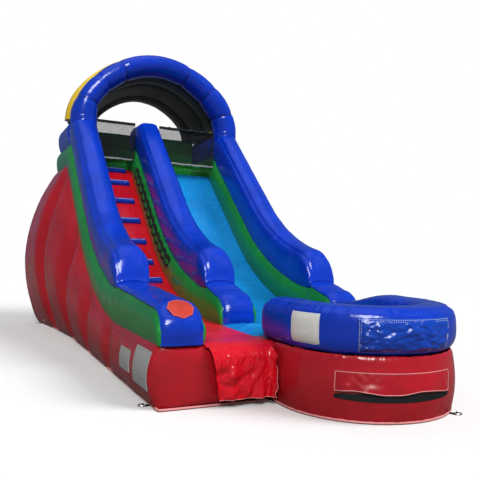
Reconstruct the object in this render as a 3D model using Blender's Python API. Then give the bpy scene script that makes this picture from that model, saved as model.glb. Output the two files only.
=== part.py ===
"""Inflatable water slide with a climbing lane, a sliding lane and a splash pool.

The ground is z = 0, the slide climbs towards +Y, and the front arch stands over the origin.
Every air-filled member is one closed body; sewn-on vinyl panels are thin bodies on top of them.
"""
import math

import bmesh
import bpy
from mathutils import Matrix, Vector

# Clearances and fabric
FIT_GAP = 0.0003            # air between pieces that touch
SKIN = 0.004                # sewn-on vinyl panel
WEBBING = 0.003             # strap webbing

# Main body, side view
LANDING_TOP = 0.53          # height of the flat front deck
LANDING_LENGTH = 1.36       # flat deck ahead of the foot of the curve
RAMP_RADIUS = 3.6           # sweep at the foot of both lanes
RAMP_ANGLE = math.radians(42.0)
PLATFORM_TOP = 2.62
PLATFORM_LENGTH = 1.04
PLATFORM_SETBACK = 0.25     # platform edge behind the arch plane
ARC_STEPS = 9
DECK_STEPS = 3

# Main body, seen from the front
HALF_WIDTH = 1.42
BULGE_PER_HEIGHT = 0.14     # side bulge for each metre of height
REAR_FLARE = 0.24           # extra half width on the ground at the back
FLARE_REACH = 2.1           # length over which the flare grows
REAR_PILLOW = 0.15          # how far the back face swells
BODY_WALL = 0.035           # the body's skin round its air space, drawn thick
REAR_PILLOW_EDGE = 0.3      # rim left round the swell
VALLEY_DEPTH_SHARE = 0.55   # how far a baffle pulls the bulge in
VALLEY_WIDTH = 0.16
BAFFLE_SPACING = 1.1        # between the tall internal baffles
SIDE_HEIGHT_SHARES = (0.95, 0.84, 0.68, 0.5, 0.32, 0.16, 0.05, 0.0)

# Walls along the lanes
WALL_WIDTH = 0.40
DIVIDER_CENTRE = -0.185
LOW_WALL = 0.33             # green wall above the lane, square to it
TUBE_HEIGHT = 0.47          # blue tube on the green wall
SIDE_TUBE_HEIGHT = 0.43     # the level tube beside the platform
TUBE_FOOT = 0.24            # flat width where the tube sits on the wall
TUBE_SWELL = 0.005          # the tube's side beyond the wall's face
BULB_SWELL = 0.012          # extra half width of the bulb at the tube's front end
BULB_LENGTH = 0.42
TUBE_FRONT = 0.31           # tube nose behind the foot of the curve, measured forward as plus
NOSE_HEIGHT = 0.41          # ribbon top above the deck at the crease
NOSE_FRONT_HEIGHT = 0.32    # ribbon top above the deck near its front
NOSE_ROUND = 0.24
LONG_NOSE_SETBACK = 0.02    # left nose behind the body's front face
SHORT_NOSE_SETBACK = 1.10   # the other two noses
RIBBON = 0.02
RIBBON_INSET = 0.012        # green cheek left beside the ribbon
DIVIDER_REAR = 0.46         # rear end of the divider behind the arch plane

# Front arch, roof and back
ARCH_DEPTH = 0.46
ARCH_THICK = 0.40
ARCH_CENTRE = 0.035         # arch centre behind the origin
ARCH_RISE = 0.99            # centre line, above the side tubes
ARCH_STEPS = 18
ARCH_SHOULDER = 0.036       # how far the arch's shoulders lie inside an ellipse
YELLOW_DEPTH = 0.25
YELLOW_PROUD = 0.035        # yellow band outside the arch
YELLOW_THICK = 0.42
ROOF_THICK = 0.36
ROOF_STEP = 0.05            # the blue band inside the yellow one
ROOF_TAPER = 0.12           # narrowing of the blue band towards the back
REAR_ARCH_INSET = 0.40       # its centre line inside the body's edge
REAR_ARCH_RISE = 0.82
REAR_ARCH_THICK = 0.33
REAR_ARCH_DEPTH = 0.27
BAND_STEPS = 14
REAR_WALL_THICK = 0.22
REAR_WALL_SETBACK = 0.02    # its outer face inside the body's rear edge
REAR_WALL_ROLLS = 3
REAR_WALL_GROOVE = 0.035
SIDE_CLEARANCE = 0.0005     # rear wall and nets beside the tubes

# Rungs of the climbing lane
RUNG_COUNT = 7
RUNG_PITCH = 0.475
RUNG_WIDTH = 0.12
RUNG_HEIGHT = 0.09
RUNG_LEFT_SPACE = 0.035
RUNG_RIGHT_SPACE = 0.085
RUNG_TOP_SETBACK = 0.06     # top rung down from the platform edge
RUNG_FIRST_PITCH = 0.345    # between the two top rungs
RUNG_SIDES = 8

# Hand strap on the divider
STRAP_LOOPS = 12
STRAP_PITCH = 0.2
STRAP_HEIGHT = 0.10
STRAP_CENTRE = 0.235         # above the lane
STRAP_TOP_SETBACK = 0.3     # top end down from the platform edge
STRAP_HOLE_LENGTH = 0.14
STRAP_HOLE_HEIGHT = 0.06
STRAP_HOLE_SIDES = 10

# Safety nets in the arch, sprinkler hose
NET_LIFT = 0.137            # lower edge above the platform
NET_DROP = 0.04             # upper edge below the side tubes' tops
NET_THICK = 0.006
NET_PITCH = 0.08
NET_CORD = 0.016
NET_HEM = 0.03
NET_STRAP_HEIGHT = 0.035
HOSE_RADIUS = 0.017
HOSE_WALL_GAP = 0.06        # hose ends before the tubes
HOSE_SIDES_RESOLUTION = 3
TIE_COUNT = 4
TIE_WIDTH = 0.02
TIE_THICK = 0.004
TIE_SIDES = 12
COUPLING_RADIUS = 0.024
COUPLING_LENGTH = 0.05
COUPLING_SIDES = 12

# Splash pool
POOL_CENTRE_X = 0.42
POOL_CENTRE_AHEAD = 0.21    # pool centre ahead of the body's front face
POOL_RADIUS = 0.82
POOL_BULGE = 0.035
POOL_TUBE_WIDTH = 0.39
POOL_TUBE_HEIGHT = 0.385
POOL_TUBE_FOOT = 0.26
POOL_TAIL = 0.53            # left end of the ring behind the pool centre
POOL_STEPS = 18
RING_FALL_SHARES = (0.99, 0.96, 0.88, 0.76, 0.68, 0.66)     # ring height towards the right wall
POOL_LEVEL_SHARES = (0.0, 0.12, 0.3, 0.5, 0.7, 0.88, 1.0)

# Panels and small fittings
MAT_MARGIN = 0.012
FLAP_WIDTH = 0.59
FLAP_RETURN = 0.13          # the flap's fold along the pool's side
FLAP_LENGTH = 0.46
FLAP_THICK = 0.005
FLAP_CLEAR = 0.006          # hanging flap before the front face
ZIP_ANGLES = (-141.0, -68.0)
ZIP_LOW = 0.175
ZIP_HIGH = 0.245
ZIP_SLIDER_LENGTH = 0.035
ZIP_SLIDER_THICK = 0.006
ZIP_FLAP_LOW = 0.285
ZIP_FLAP_HIGH = 0.40
PATCH_THICK = 0.002
POCKET_THICK = 0.004
SIGN_ANGLES = (-171.5, -151.0)
SIGN_HEIGHT_SHARES = (0.08, 0.80)
POCKET_ANGLES = (-129.0, -69.0)
POCKET_HEIGHT_SHARES = (0.05, 0.78)
LABEL_SMALL_START = 0.68    # behind the body's front face
LABEL_SMALL_LENGTH = 0.34
LABEL_SMALL_LOW = 0.19
LABEL_SMALL_HIGH = 0.39
LABEL_LARGE_START = 0.12
LABEL_LARGE_LENGTH = 0.42
LABEL_LARGE_LOW = 0.15
LABEL_LARGE_HIGH = 0.47
OCTAGON_RADIUS = 0.115
OCTAGON_TILT = math.radians(62.0)
ANCHOR_FRONT_SETBACK = 0.24
ANCHOR_REAR_SETBACK = 0.25
ANCHOR_POOL_ANGLE = -56.0
ANCHOR_WIDTH = 0.05
ANCHOR_REACH = 0.06
ANCHOR_THICK = 0.004
RING_ROD = 0.008
RING_WIDTH = 0.05
RING_LENGTH = 0.045
RING_STEPS = 10
EYE_CLEAR = 0.001
SLEEVE_RADIUS = 0.14
PORT_RADIUS = 0.10          # air port from the sleeve into the body
PORT_SIDES = 24
SLEEVE_WALL = 0.006
SLEEVE_LENGTH = 0.34
SLEEVE_X = 0.75
SLEEVE_SIDES = 20
SLEEVE_STRAP_WIDTH = 0.04

COLOURS = {
    "red": (0.42, 0.012, 0.018), "vivid_red": (0.72, 0.012, 0.012), "blue": (0.006, 0.045, 0.52),
    "green": (0.03, 0.26, 0.035), "light_blue": (0.02, 0.26, 0.55), "yellow": (0.70, 0.50, 0.03),
    "black": (0.01, 0.01, 0.012), "pale": (0.75, 0.74, 0.71), "coral": (0.75, 0.16, 0.12),
    "steel": (0.55, 0.55, 0.56), "brass": (0.65, 0.45, 0.16),
}


def clear_scene():
    for item in list(bpy.data.objects):
        bpy.data.objects.remove(item, do_unlink=True)


def material(colour):
    """One vinyl, webbing or metal material for each colour."""
    found = bpy.data.materials.get(colour)
    if found:
        return found
    made = bpy.data.materials.new(colour)
    made.use_nodes = True
    shader = made.node_tree.nodes["Principled BSDF"]
    shader.inputs["Base Color"].default_value = (*COLOURS[colour], 1.0)
    shader.inputs["Roughness"].default_value = 0.3
    shader.inputs["Metallic"].default_value = 1.0 if colour in ("steel", "brass") else 0.0
    return made


def add_object(name, mesh, colour, smooth=True):
    item = bpy.data.objects.new(name, mesh)
    bpy.context.scene.collection.objects.link(item)
    mesh.materials.clear()
    mesh.materials.append(material(colour))
    if smooth:
        mesh.shade_smooth()
        mesh.set_sharp_from_angle(angle=math.radians(35.0))
    return item


def mesh_from_faces(name, points, faces):
    """A mesh whose faces all point out."""
    mesh = bpy.data.meshes.new(name)
    mesh.from_pydata(points, [], faces)
    work = bmesh.new()
    work.from_mesh(mesh)
    bmesh.ops.recalc_face_normals(work, faces=work.faces)
    bmesh.ops.triangulate(work, faces=work.faces)
    work.to_mesh(mesh)
    work.free()
    return mesh


def loft(name, rings, colour, closed=False):
    """A closed body through rings of equal counts, capped at its two ends."""
    count = len(rings[0])
    points = [tuple(point) for ring in rings for point in ring]
    faces = []
    spans = len(rings) if closed else len(rings) - 1
    for row in range(spans):
        here = row * count
        there = ((row + 1) % len(rings)) * count
        for column in range(count):
            after = (column + 1) % count
            faces.append((here + column, here + after, there + after, there + column))
    if not closed:
        faces.append(tuple(range(count)))
        faces.append(tuple(range((len(rings) - 1) * count, len(rings) * count)))
    return add_object(name, mesh_from_faces(name, points, faces), colour)


def box_mesh(name, low, high):
    corners = [(x, y, z) for x in (low[0], high[0]) for y in (low[1], high[1]) for z in (low[2], high[2])]
    faces = [(0, 1, 3, 2), (4, 5, 7, 6), (0, 1, 5, 4), (2, 3, 7, 6), (0, 2, 6, 4), (1, 3, 7, 5)]
    return mesh_from_faces(name, corners, faces)


def prism(name, outline, place, depth, colour, holes=()):
    """A flat plate with holes; place(u, v, d) gives the world point at depth d."""
    work = bmesh.new()
    edges = []
    for loop in (outline, *holes):
        dots = [work.verts.new((u, v, 0.0)) for u, v in loop]
        for first, second in zip(dots, dots[1:] + dots[:1]):
            edges.append(work.edges.new((first, second)))
    bmesh.ops.triangle_fill(work, edges=edges, use_beauty=True, normal=(0.0, 0.0, 1.0))
    front = list(work.faces)
    grown = bmesh.ops.extrude_face_region(work, geom=front, use_keep_orig=True)
    lifted = {part for part in grown["geom"] if isinstance(part, bmesh.types.BMVert)}
    for vert in work.verts:
        vert.co = place(vert.co.x, vert.co.y, depth if vert in lifted else 0.0)
    bmesh.ops.recalc_face_normals(work, faces=work.faces)
    bmesh.ops.triangulate(work, faces=work.faces)
    mesh = bpy.data.meshes.new(name)
    work.to_mesh(mesh)
    work.free()
    return add_object(name, mesh, colour, smooth=False)


def swollen_copy(host, distance):
    """The host's shape with every face moved out by distance, as a hidden cutter."""
    mesh = host.data.copy()
    work = bmesh.new()
    work.from_mesh(mesh)
    work.normal_update()
    moves = {vert: vert.normal * distance * vert.calc_shell_factor() for vert in work.verts}
    for vert, move in moves.items():
        vert.co += move
    work.to_mesh(mesh)
    work.free()
    cutter = bpy.data.objects.new(host.name + "_swollen", mesh)
    cutter.matrix_world = host.matrix_world
    bpy.context.scene.collection.objects.link(cutter)
    return hide_helper(cutter)


def hide_helper(cutter):
    cutter.hide_render = True
    cutter.display_type = "WIRE"
    return cutter


def cut(target, cutter, operation="DIFFERENCE"):
    step = target.modifiers.new(operation.title(), "BOOLEAN")
    step.operation = operation
    step.solver = "EXACT"
    step.object = cutter


def panel_on(name, host, block, colour, thick=PATCH_THICK, start=FIT_GAP):
    """A thin panel that follows the host's faces inside the block."""
    patch = add_object(name, block, colour, smooth=False)
    cut(patch, swollen_copy(host, start + thick), "INTERSECT")
    cut(patch, swollen_copy(host, start))
    return patch


# Side profile of the lanes

def ramp_run():
    """Length and height of the curved foot, then of the straight slope."""
    curve_run = RAMP_RADIUS * math.sin(RAMP_ANGLE)
    curve_rise = RAMP_RADIUS * (1.0 - math.cos(RAMP_ANGLE))
    slope_rise = PLATFORM_TOP - LANDING_TOP - curve_rise
    return curve_run, curve_rise, slope_rise / math.tan(RAMP_ANGLE), slope_rise


CURVE_RUN, CURVE_RISE, SLOPE_RUN, SLOPE_RISE = ramp_run()
SLOPE_FOOT = PLATFORM_SETBACK - SLOPE_RUN
CURVE_FOOT = SLOPE_FOOT - CURVE_RUN
BODY_FRONT = CURVE_FOOT - LANDING_LENGTH
BODY_REAR = PLATFORM_SETBACK + PLATFORM_LENGTH
TUBE_NOSE = CURVE_FOOT + TUBE_FRONT
SIDE_TUBE_TOP = PLATFORM_TOP + LOW_WALL + SIDE_TUBE_HEIGHT
NET_BOTTOM = PLATFORM_TOP + NET_LIFT
NET_TOP = SIDE_TUBE_TOP - NET_DROP
BODY_TOP_DROP = SKIN + FIT_GAP


def lane_corners():
    """Side view of both lanes, front to back, as (y, z) corners."""
    corners = []
    for step in range(DECK_STEPS):
        corners.append((BODY_FRONT + LANDING_LENGTH * step / DECK_STEPS, LANDING_TOP))
    for step in range(ARC_STEPS + 1):
        turn = RAMP_ANGLE * step / ARC_STEPS
        corners.append((CURVE_FOOT + RAMP_RADIUS * math.sin(turn),
                        LANDING_TOP + RAMP_RADIUS * (1.0 - math.cos(turn))))
    return corners + [(PLATFORM_SETBACK, PLATFORM_TOP), (BODY_REAR, PLATFORM_TOP)]


LANE = lane_corners()


def lane_height(y):
    """Height of both lanes at a distance y behind the arch."""
    for (y0, z0), (y1, z1) in zip(LANE, LANE[1:]):
        if y <= y1:
            return z0 + (z1 - z0) * (y - y0) / (y1 - y0)
    return LANE[-1][1]


def baffle_lines():
    """Where the tall internal baffles pull the sides in, from the back."""
    lines = []
    line = BODY_REAR - BAFFLE_SPACING
    while line > CURVE_FOOT:
        lines.append(line)
        line -= BAFFLE_SPACING
    return lines


def lane_profile(extra=()):
    """The lane corners with further points on the same lines."""
    kept = dict(LANE)
    for place in extra:
        nearest = min(abs(place - corner) for corner in kept)
        if LANE[0][0] < place < LANE[-1][0] and nearest > VALLEY_WIDTH / 4:
            kept[place] = lane_height(place)
    return sorted(kept.items())


def offset_path(path, height):
    """The path moved square to its runs by height, with mitred corners."""
    normals = []
    for (y0, z0), (y1, z1) in zip(path, path[1:]):
        length = math.hypot(y1 - y0, z1 - z0)
        normals.append((-(z1 - z0) / length, (y1 - y0) / length))
    moved = []
    for index, (y, z) in enumerate(path):
        before = normals[max(index - 1, 0)]
        after = normals[min(index, len(normals) - 1)]
        total = (before[0] + after[0], before[1] + after[1])
        scale = height / (1.0 + before[0] * after[0] + before[1] * after[1])
        moved.append((y + total[0] * scale, z + total[1] * scale))
    return moved


def path_point(path, distance):
    """Point and heading at a distance back along the path from its last corner."""
    left = distance
    for (y1, z1), (y0, z0) in zip(path[::-1], path[-2::-1]):
        length = math.hypot(y1 - y0, z1 - z0)
        if left <= length:
            share = left / length
            heading = ((y1 - y0) / length, (z1 - z0) / length)
            return (y1 + (y0 - y1) * share, z1 + (z0 - z1) * share), heading
        left -= length
    raise ValueError("the path is shorter than the distance asked for")


# Main body

def side_reach(y, top, share):
    """How far the body's side lies beyond its top edge at a share of the height."""
    pull = 1.0
    for line in baffle_lines():
        pull = min(pull, 1.0 - VALLEY_DEPTH_SHARE * math.exp(-((y - line) / VALLEY_WIDTH) ** 2))
    bulge = BULGE_PER_HEIGHT * top * pull * math.sin(math.pi * share) ** 0.8
    grown = min(max((y - BODY_REAR + FLARE_REACH) / FLARE_REACH, 0.0), 1.0)
    return bulge + REAR_FLARE * grown ** 1.3 * (1.0 - share)


def body_ring(y, top, inset=0.0, base=0.0):
    """One upright section of the body."""
    half = [(HALF_WIDTH - inset, top)]
    for share in SIDE_HEIGHT_SHARES:
        reach = side_reach(y, top, share)
        half.append((HALF_WIDTH + reach - inset, base + (top - base) * share))
    return half


def mirrored_ring(half, y):
    right = [Vector((x, y, z)) for x, z in half]
    left = [Vector((-x, y, z)) for x, z in reversed(half)]
    return right + left


def body_stations():
    """Side view of the body's top with points where its sides swell or draw in."""
    extra = []
    for line in baffle_lines():
        extra += [line, line - BAFFLE_SPACING / 4, line + BAFFLE_SPACING / 4]
        extra += [line - BAFFLE_SPACING / 2]
    return lane_profile(extra + [BODY_REAR - BAFFLE_SPACING / 8])


def body_loft(name, wall):
    """The body's outer form, or with a wall the air space inside it."""
    path = offset_path(body_stations(), -BODY_TOP_DROP - wall)
    path[0] = (path[0][0] + wall, path[0][1])
    path[-1] = (path[-1][0] - wall, path[-1][1])
    rings = [mirrored_ring(body_ring(y, z, wall, wall), y) for y, z in path]
    rear_y, rear_z = path[-1]
    pillow = body_ring(rear_y, rear_z - REAR_PILLOW_EDGE, REAR_PILLOW_EDGE, REAR_PILLOW_EDGE)
    rings.append(mirrored_ring(pillow, rear_y + REAR_PILLOW))
    return loft(name, rings, "red")


def hollow_body(body):
    """Opens the body's air space, which its port joins to the blower sleeve."""
    cut(body, hide_helper(body_loft("air_space", BODY_WALL)))
    height = SLEEVE_RADIUS + WEBBING + 3 * FIT_GAP
    reach = REAR_PILLOW + 2 * BODY_WALL
    turns = [2 * math.pi * step / PORT_SIDES for step in range(PORT_SIDES)]
    rings = []
    for y in (BODY_REAR - reach, BODY_REAR + reach):
        rings.append([Vector((SLEEVE_X + PORT_RADIUS * math.cos(turn), y, height + PORT_RADIUS * math.sin(turn)))
                      for turn in turns])
    cut(body, hide_helper(loft("air_port", rings, "red")))


# Walls beside the lanes

def wall_centres():
    edge = HALF_WIDTH - WALL_WIDTH / 2
    return {"left": -edge, "divider": DIVIDER_CENTRE, "right": edge}


def nose_front(side):
    setback = LONG_NOSE_SETBACK if side == "left" else SHORT_NOSE_SETBACK
    return BODY_FRONT + setback


def crease_y(z):
    """Front of the tube's bulb at a height, where the nose ends."""
    ahead = (LANE[-1][0], LANE[-1][1])
    for corner in LANE:
        if corner[0] > TUBE_NOSE:
            ahead = corner
            break
    foot = lane_height(TUBE_NOSE)
    return TUBE_NOSE - (z - foot) * (ahead[1] - foot) / (ahead[0] - TUBE_NOSE) - 2 * FIT_GAP


def nose_outline(side):
    """Outer side view of a wall's nose, from its foot over the top to the crease."""
    front = nose_front(side)
    foot = LANDING_TOP - SKIN
    top = LANDING_TOP + NOSE_FRONT_HEIGHT
    points = [(front, foot)]
    for step in range(5):
        angle = math.pi * step / 8
        points.append((front + NOSE_ROUND * (1.0 - math.cos(angle)),
                       top - NOSE_ROUND + NOSE_ROUND * math.sin(angle)))
    crease = LANDING_TOP + NOSE_HEIGHT
    points.append((crease_y(crease), crease))
    return points


def build_nose_ribbon(side):
    """The blue panel over the top and down the front of a wall's nose."""
    outer = nose_outline(side)
    inner = offset_path(outer, -RIBBON)
    inner[0] = (inner[0][0], outer[0][1])
    inner[-1] = (crease_y(inner[-1][1]), inner[-1][1])
    half = WALL_WIDTH / 2 - RIBBON_INSET
    centre = wall_centres()[side]
    rings = []
    for (yo, zo), (yi, zi) in zip(outer, inner):
        rings.append([Vector((centre - half, yi, zi)), Vector((centre - half, yo, zo)),
                      Vector((centre + half, yo, zo)), Vector((centre + half, yi, zi))])
    return loft(side + "_nose_ribbon", rings, "blue")


def build_low_wall(side):
    """The green wall that stands on the body beside the lanes."""
    profile = lane_profile()
    rear = BODY_REAR if side != "divider" else DIVIDER_REAR
    path = [spot for spot in profile if spot[0] < rear - VALLEY_WIDTH] + [(rear, lane_height(rear))]
    shell = offset_path(nose_outline(side), -RIBBON - FIT_GAP)
    shell[0] = (shell[0][0], LANDING_TOP - SKIN)
    base = [spot for spot in offset_path(path, -SKIN) if spot[0] > shell[0][0]]
    top = [spot for spot in offset_path(path, LOW_WALL) if spot[0] > TUBE_NOSE]
    nose_run = [(TUBE_NOSE, lane_height(TUBE_NOSE)), next(corner for corner in LANE if corner[0] > TUBE_NOSE)]
    step_z = offset_path(nose_run, LOW_WALL)[0][1]
    outline = shell[:-1] + [(crease_y(shell[-1][1]), shell[-1][1]), (crease_y(step_z), step_z)] + top
    outline += base[::-1]
    centre = wall_centres()[side]
    lowest = centre - WALL_WIDTH / 2

    def place(u, v, depth):
        return Vector((lowest + depth, u, v))

    return prism(side + "_low_wall", outline, place, WALL_WIDTH, "green")


def tube_section(half, low, high, foot):
    """Section of a tube on a flat foot, as (x, height) points."""
    middle = (low + high) / 2
    rise = (high - low) / 2
    points = [(-foot / 2, low), (foot / 2, low)]
    for angle in (-30, 0, 30, 60, 90, 120, 150, 180, 210):
        turn = math.radians(angle)
        points.append((half * math.cos(turn), middle + rise * math.sin(turn)))
    return points


def mitre_height(y):
    """Height of the joint between a sloping tube and the arch leg above it."""
    crest = LOW_WALL + TUBE_HEIGHT
    front = ARCH_CENTRE - ARCH_DEPTH / 2
    corner = lane_height(SLOPE_FOOT) + crest / math.cos(RAMP_ANGLE)
    corner += (front - SLOPE_FOOT) * math.tan(RAMP_ANGLE)
    return corner - (y - front) * math.cos(RAMP_ANGLE) / (1.0 + math.sin(RAMP_ANGLE))


def slope_point(height):
    """A point at this height above the straight slope, at the slope's foot."""
    return (SLOPE_FOOT - height * math.sin(RAMP_ANGLE),
            lane_height(SLOPE_FOOT) + height * math.cos(RAMP_ANGLE))


def on_mitre(height):
    """Where a line along the slope at this height meets the arch joint."""
    y, z = slope_point(height)
    slope = math.tan(RAMP_ANGLE)
    fall = math.cos(RAMP_ANGLE) / (1.0 + math.sin(RAMP_ANGLE))
    run = (mitre_height(y) - z) / (slope + fall)
    return y + run, z + run * slope


def share_at(table, place):
    """Value of a table of (place, value) pairs at a place between them."""
    for (p0, v0), (p1, v1) in zip(table, table[1:]):
        if place <= p1:
            return v0 + (v1 - v0) * (place - p0) / (p1 - p0)
    return table[-1][1]


def upper_tube_rings(side):
    """Sections from the bulb at the crease up to the straight slope."""
    centre = wall_centres()[side]
    half = WALL_WIDTH / 2 + TUBE_SWELL
    full = 1.0 + BULB_SWELL / half
    wide_shares = ((0.0, 0.56), (0.05, 0.8), (0.17, 0.98), (0.4, full), (0.75, full), (1.3, 1.0), (2.0, 1.0))
    high_shares = ((0.0, 0.43), (0.05, 0.61), (0.17, 0.78), (0.4, 0.91), (0.75, 0.98), (1.3, 1.0), (2.0, 1.0))
    path = {TUBE_NOSE + BULB_LENGTH * share for share, _ in wide_shares[:-1]}
    path |= {y for y, _ in LANE if TUBE_NOSE < y <= PLATFORM_SETBACK}
    path = [(y, lane_height(y)) for y in sorted(path)]
    low = LOW_WALL + FIT_GAP
    rings = []
    for index, (y, _) in enumerate(path[:-1]):
        place = (y - TUBE_NOSE) / BULB_LENGTH
        wide = share_at(wide_shares, place)
        high = low + (TUBE_HEIGHT - FIT_GAP) * share_at(high_shares, place)
        section = tube_section(half * wide, low, high, TUBE_FOOT * min(wide, 1.0))
        rings.append([Vector((centre + x, *offset_path(path, height)[index])) for x, height in section])
    return rings


def build_upper_tube(side):
    centre = wall_centres()[side]
    half = WALL_WIDTH / 2 + TUBE_SWELL
    section = tube_section(half, LOW_WALL + FIT_GAP, LOW_WALL + TUBE_HEIGHT, TUBE_FOOT)
    rings = upper_tube_rings(side)
    if side != "divider":
        rings.append([Vector((centre + x, *on_mitre(height))) for x, height in section])
        return loft(side + "_upper_tube", rings, "blue")
    corner_y, corner_z = platform_wall_corner(LOW_WALL + FIT_GAP)
    top = SIDE_TUBE_TOP
    level = tube_section(half, corner_z, top, TUBE_FOOT)
    crest_y = slope_point(LOW_WALL + TUBE_HEIGHT)[0]
    crest_y += (top - slope_point(LOW_WALL + TUBE_HEIGHT)[1]) / math.tan(RAMP_ANGLE)
    lean = (corner_y - crest_y) / (top - corner_z)
    rings.append([Vector((centre + x, corner_y - (z - corner_z) * lean, z)) for x, z in level])
    rings.append([Vector((centre + x, corner_y + (DIVIDER_REAR - corner_y) / 3 + FIT_GAP, z))
                  for x, z in level])
    for reach, share in ((0.85, 0.86), (1.0, 0.5)):
        rise = (top - corner_z) / 2
        small = tube_section(half * share, corner_z + rise * (1 - share), top - rise * (1 - share),
                             TUBE_FOOT * share)
        rings.append([Vector((centre + x, corner_y + (DIVIDER_REAR - corner_y) * reach, z)) for x, z in small])
    return loft("divider_upper_tube", rings, "blue")


def platform_wall_corner(height):
    """Corner of a line at this height where the slope meets the platform."""
    corner = [(SLOPE_FOOT, lane_height(SLOPE_FOOT)), (PLATFORM_SETBACK, PLATFORM_TOP),
              (BODY_REAR, PLATFORM_TOP)]
    return offset_path(corner, height)[1]


def arch_rear():
    """Rear of the joint between the sloping tube and the arch leg."""
    return max(on_mitre(LOW_WALL)[0], ARCH_CENTRE + ARCH_DEPTH / 2)


def build_side_tube(side):
    """The level tube beside the platform, behind the arch's foot."""
    centre = wall_centres()[side]
    half = WALL_WIDTH / 2 + TUBE_SWELL
    low = PLATFORM_TOP + LOW_WALL + FIT_GAP
    section = tube_section(half, low, SIDE_TUBE_TOP, TUBE_FOOT)
    corner_y, corner_z = platform_wall_corner(LOW_WALL + FIT_GAP)
    rings = [[Vector((centre + x, y, z)) for x, z in section]
             for y in (corner_y + FIT_GAP, (corner_y + BODY_REAR) / 2, BODY_REAR)]
    tube = loft(side + "_side_tube", rings, "blue")
    stop = arch_rear() + FIT_GAP
    slope = math.tan(RAMP_ANGLE)
    reach = 2 * SIDE_TUBE_HEIGHT
    drop = FIT_GAP / math.cos(RAMP_ANGLE)
    outline = [(corner_y - reach, corner_z - reach * slope - drop),
               (stop, corner_z + (stop - corner_y) * slope - drop),
               (stop, corner_z + reach), (corner_y - reach, corner_z + reach)]

    def place(u, v, depth):
        return Vector((centre - WALL_WIDTH + depth, u, v))

    cutter = prism(side + "_elbow_space", outline, place, 2 * WALL_WIDTH, "blue")
    cutter.hide_render = True
    cutter.display_type = "WIRE"
    cut(tube, cutter)
    return tube


# Arch, roof and back wall

def arch_line(half_width, rise, steps):
    """Stations over an arch: centre, outward direction and share from left to right."""
    foot = SIDE_TUBE_TOP + FIT_GAP
    stations = []
    for step in range(steps + 1):
        turn = math.pi * (1.0 - step / steps)
        pull = 1.0 - ARCH_SHOULDER * math.sin(2 * turn) ** 2
        centre = Vector((half_width * pull * math.cos(turn), 0.0, foot + rise * pull * math.sin(turn)))
        out = Vector((rise * math.cos(turn), 0.0, half_width * math.sin(turn))).normalized()
        stations.append((centre, out))
    return stations


def build_front_arch():
    half_width = HALF_WIDTH - WALL_WIDTH / 2
    corners = [2 * math.pi * step / 12 for step in range(12)]
    rings = []
    for centre, out in arch_line(half_width, ARCH_RISE, ARCH_STEPS):
        ring = []
        for turn in corners:
            point = centre + out * (ARCH_THICK / 2 * math.cos(turn))
            point.y = ARCH_CENTRE + (ARCH_DEPTH / 2 - FIT_GAP) * math.sin(turn)
            ring.append(point)
        rings.append(ring)
    for index, mirror in ((0, 1.0), (-1, -1.0)):
        foot = []
        for point in rings[index]:
            foot.append(Vector((point.x, point.y, mitre_height(point.y) + 2 * FIT_GAP)))
        rings.insert(0 if mirror > 0 else len(rings), foot)
    return loft("front_arch", rings, "blue")


def build_band(name, front, rear, colour):
    """A curved roof member; front and rear give (y, outer half, outer rise, thickness)."""
    rings = []
    ends = []
    for y, outer, rise, thick in (front, rear):
        middle = arch_line(outer - thick / 2, rise - thick / 2, BAND_STEPS)
        ends.append([(y, centre, out, thick) for centre, out in middle])
    for (y0, c0, o0, t0), (y1, c1, o1, t1) in zip(*ends):
        ring = []
        for y, centre, out, thick, share in ((y0, c0, o0, t0, 0.32), (y0, c0, o0, t0, -0.32)):
            point = centre + out * (thick * share)
            point.y = y
            ring.append(point)
        for place, side in ((0.2, -0.5), (0.8, -0.5)):
            point = c0.lerp(c1, place) + o0.lerp(o1, place) * (side * (t0 + (t1 - t0) * place))
            point.y = y0 + (y1 - y0) * place
            ring.append(point)
        for y, centre, out, thick, share in ((y1, c1, o1, t1, -0.32), (y1, c1, o1, t1, 0.32)):
            point = centre + out * (thick * share)
            point.y = y
            ring.append(point)
        for place, side in ((0.8, 0.5), (0.2, 0.5)):
            point = c0.lerp(c1, place) + o0.lerp(o1, place) * (side * (t0 + (t1 - t0) * place))
            point.y = y0 + (y1 - y0) * place
            ring.append(point)
        rings.append(ring)
    return loft(name, rings, colour)


def build_roof():
    start = arch_rear() + 3 * FIT_GAP
    outer = HALF_WIDTH + YELLOW_PROUD
    rise = ARCH_RISE + ARCH_THICK / 2 + YELLOW_PROUD
    yellow_end = start + YELLOW_DEPTH
    build_band("roof_band_yellow", (start, outer, rise, YELLOW_THICK),
               (yellow_end, outer, rise, YELLOW_THICK), "yellow")
    blue_start = yellow_end + FIT_GAP
    rear_start = BODY_REAR - REAR_ARCH_DEPTH
    build_band("roof_band_blue", (blue_start, outer - ROOF_STEP, rise - ROOF_STEP, ROOF_THICK),
               (rear_start - FIT_GAP, outer - ROOF_STEP - ROOF_TAPER, rise - ROOF_STEP - ROOF_TAPER,
                ROOF_THICK), "blue")
    outer = HALF_WIDTH - REAR_ARCH_INSET + REAR_ARCH_THICK / 2
    rise = REAR_ARCH_RISE + REAR_ARCH_THICK / 2
    build_band("rear_arch", (rear_start, outer, rise, REAR_ARCH_THICK),
               (BODY_REAR, outer, rise, REAR_ARCH_THICK), "blue")


def inner_half():
    """Half width of the free space between the outer tubes."""
    return HALF_WIDTH - WALL_WIDTH - TUBE_SWELL - SIDE_CLEARANCE


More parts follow.
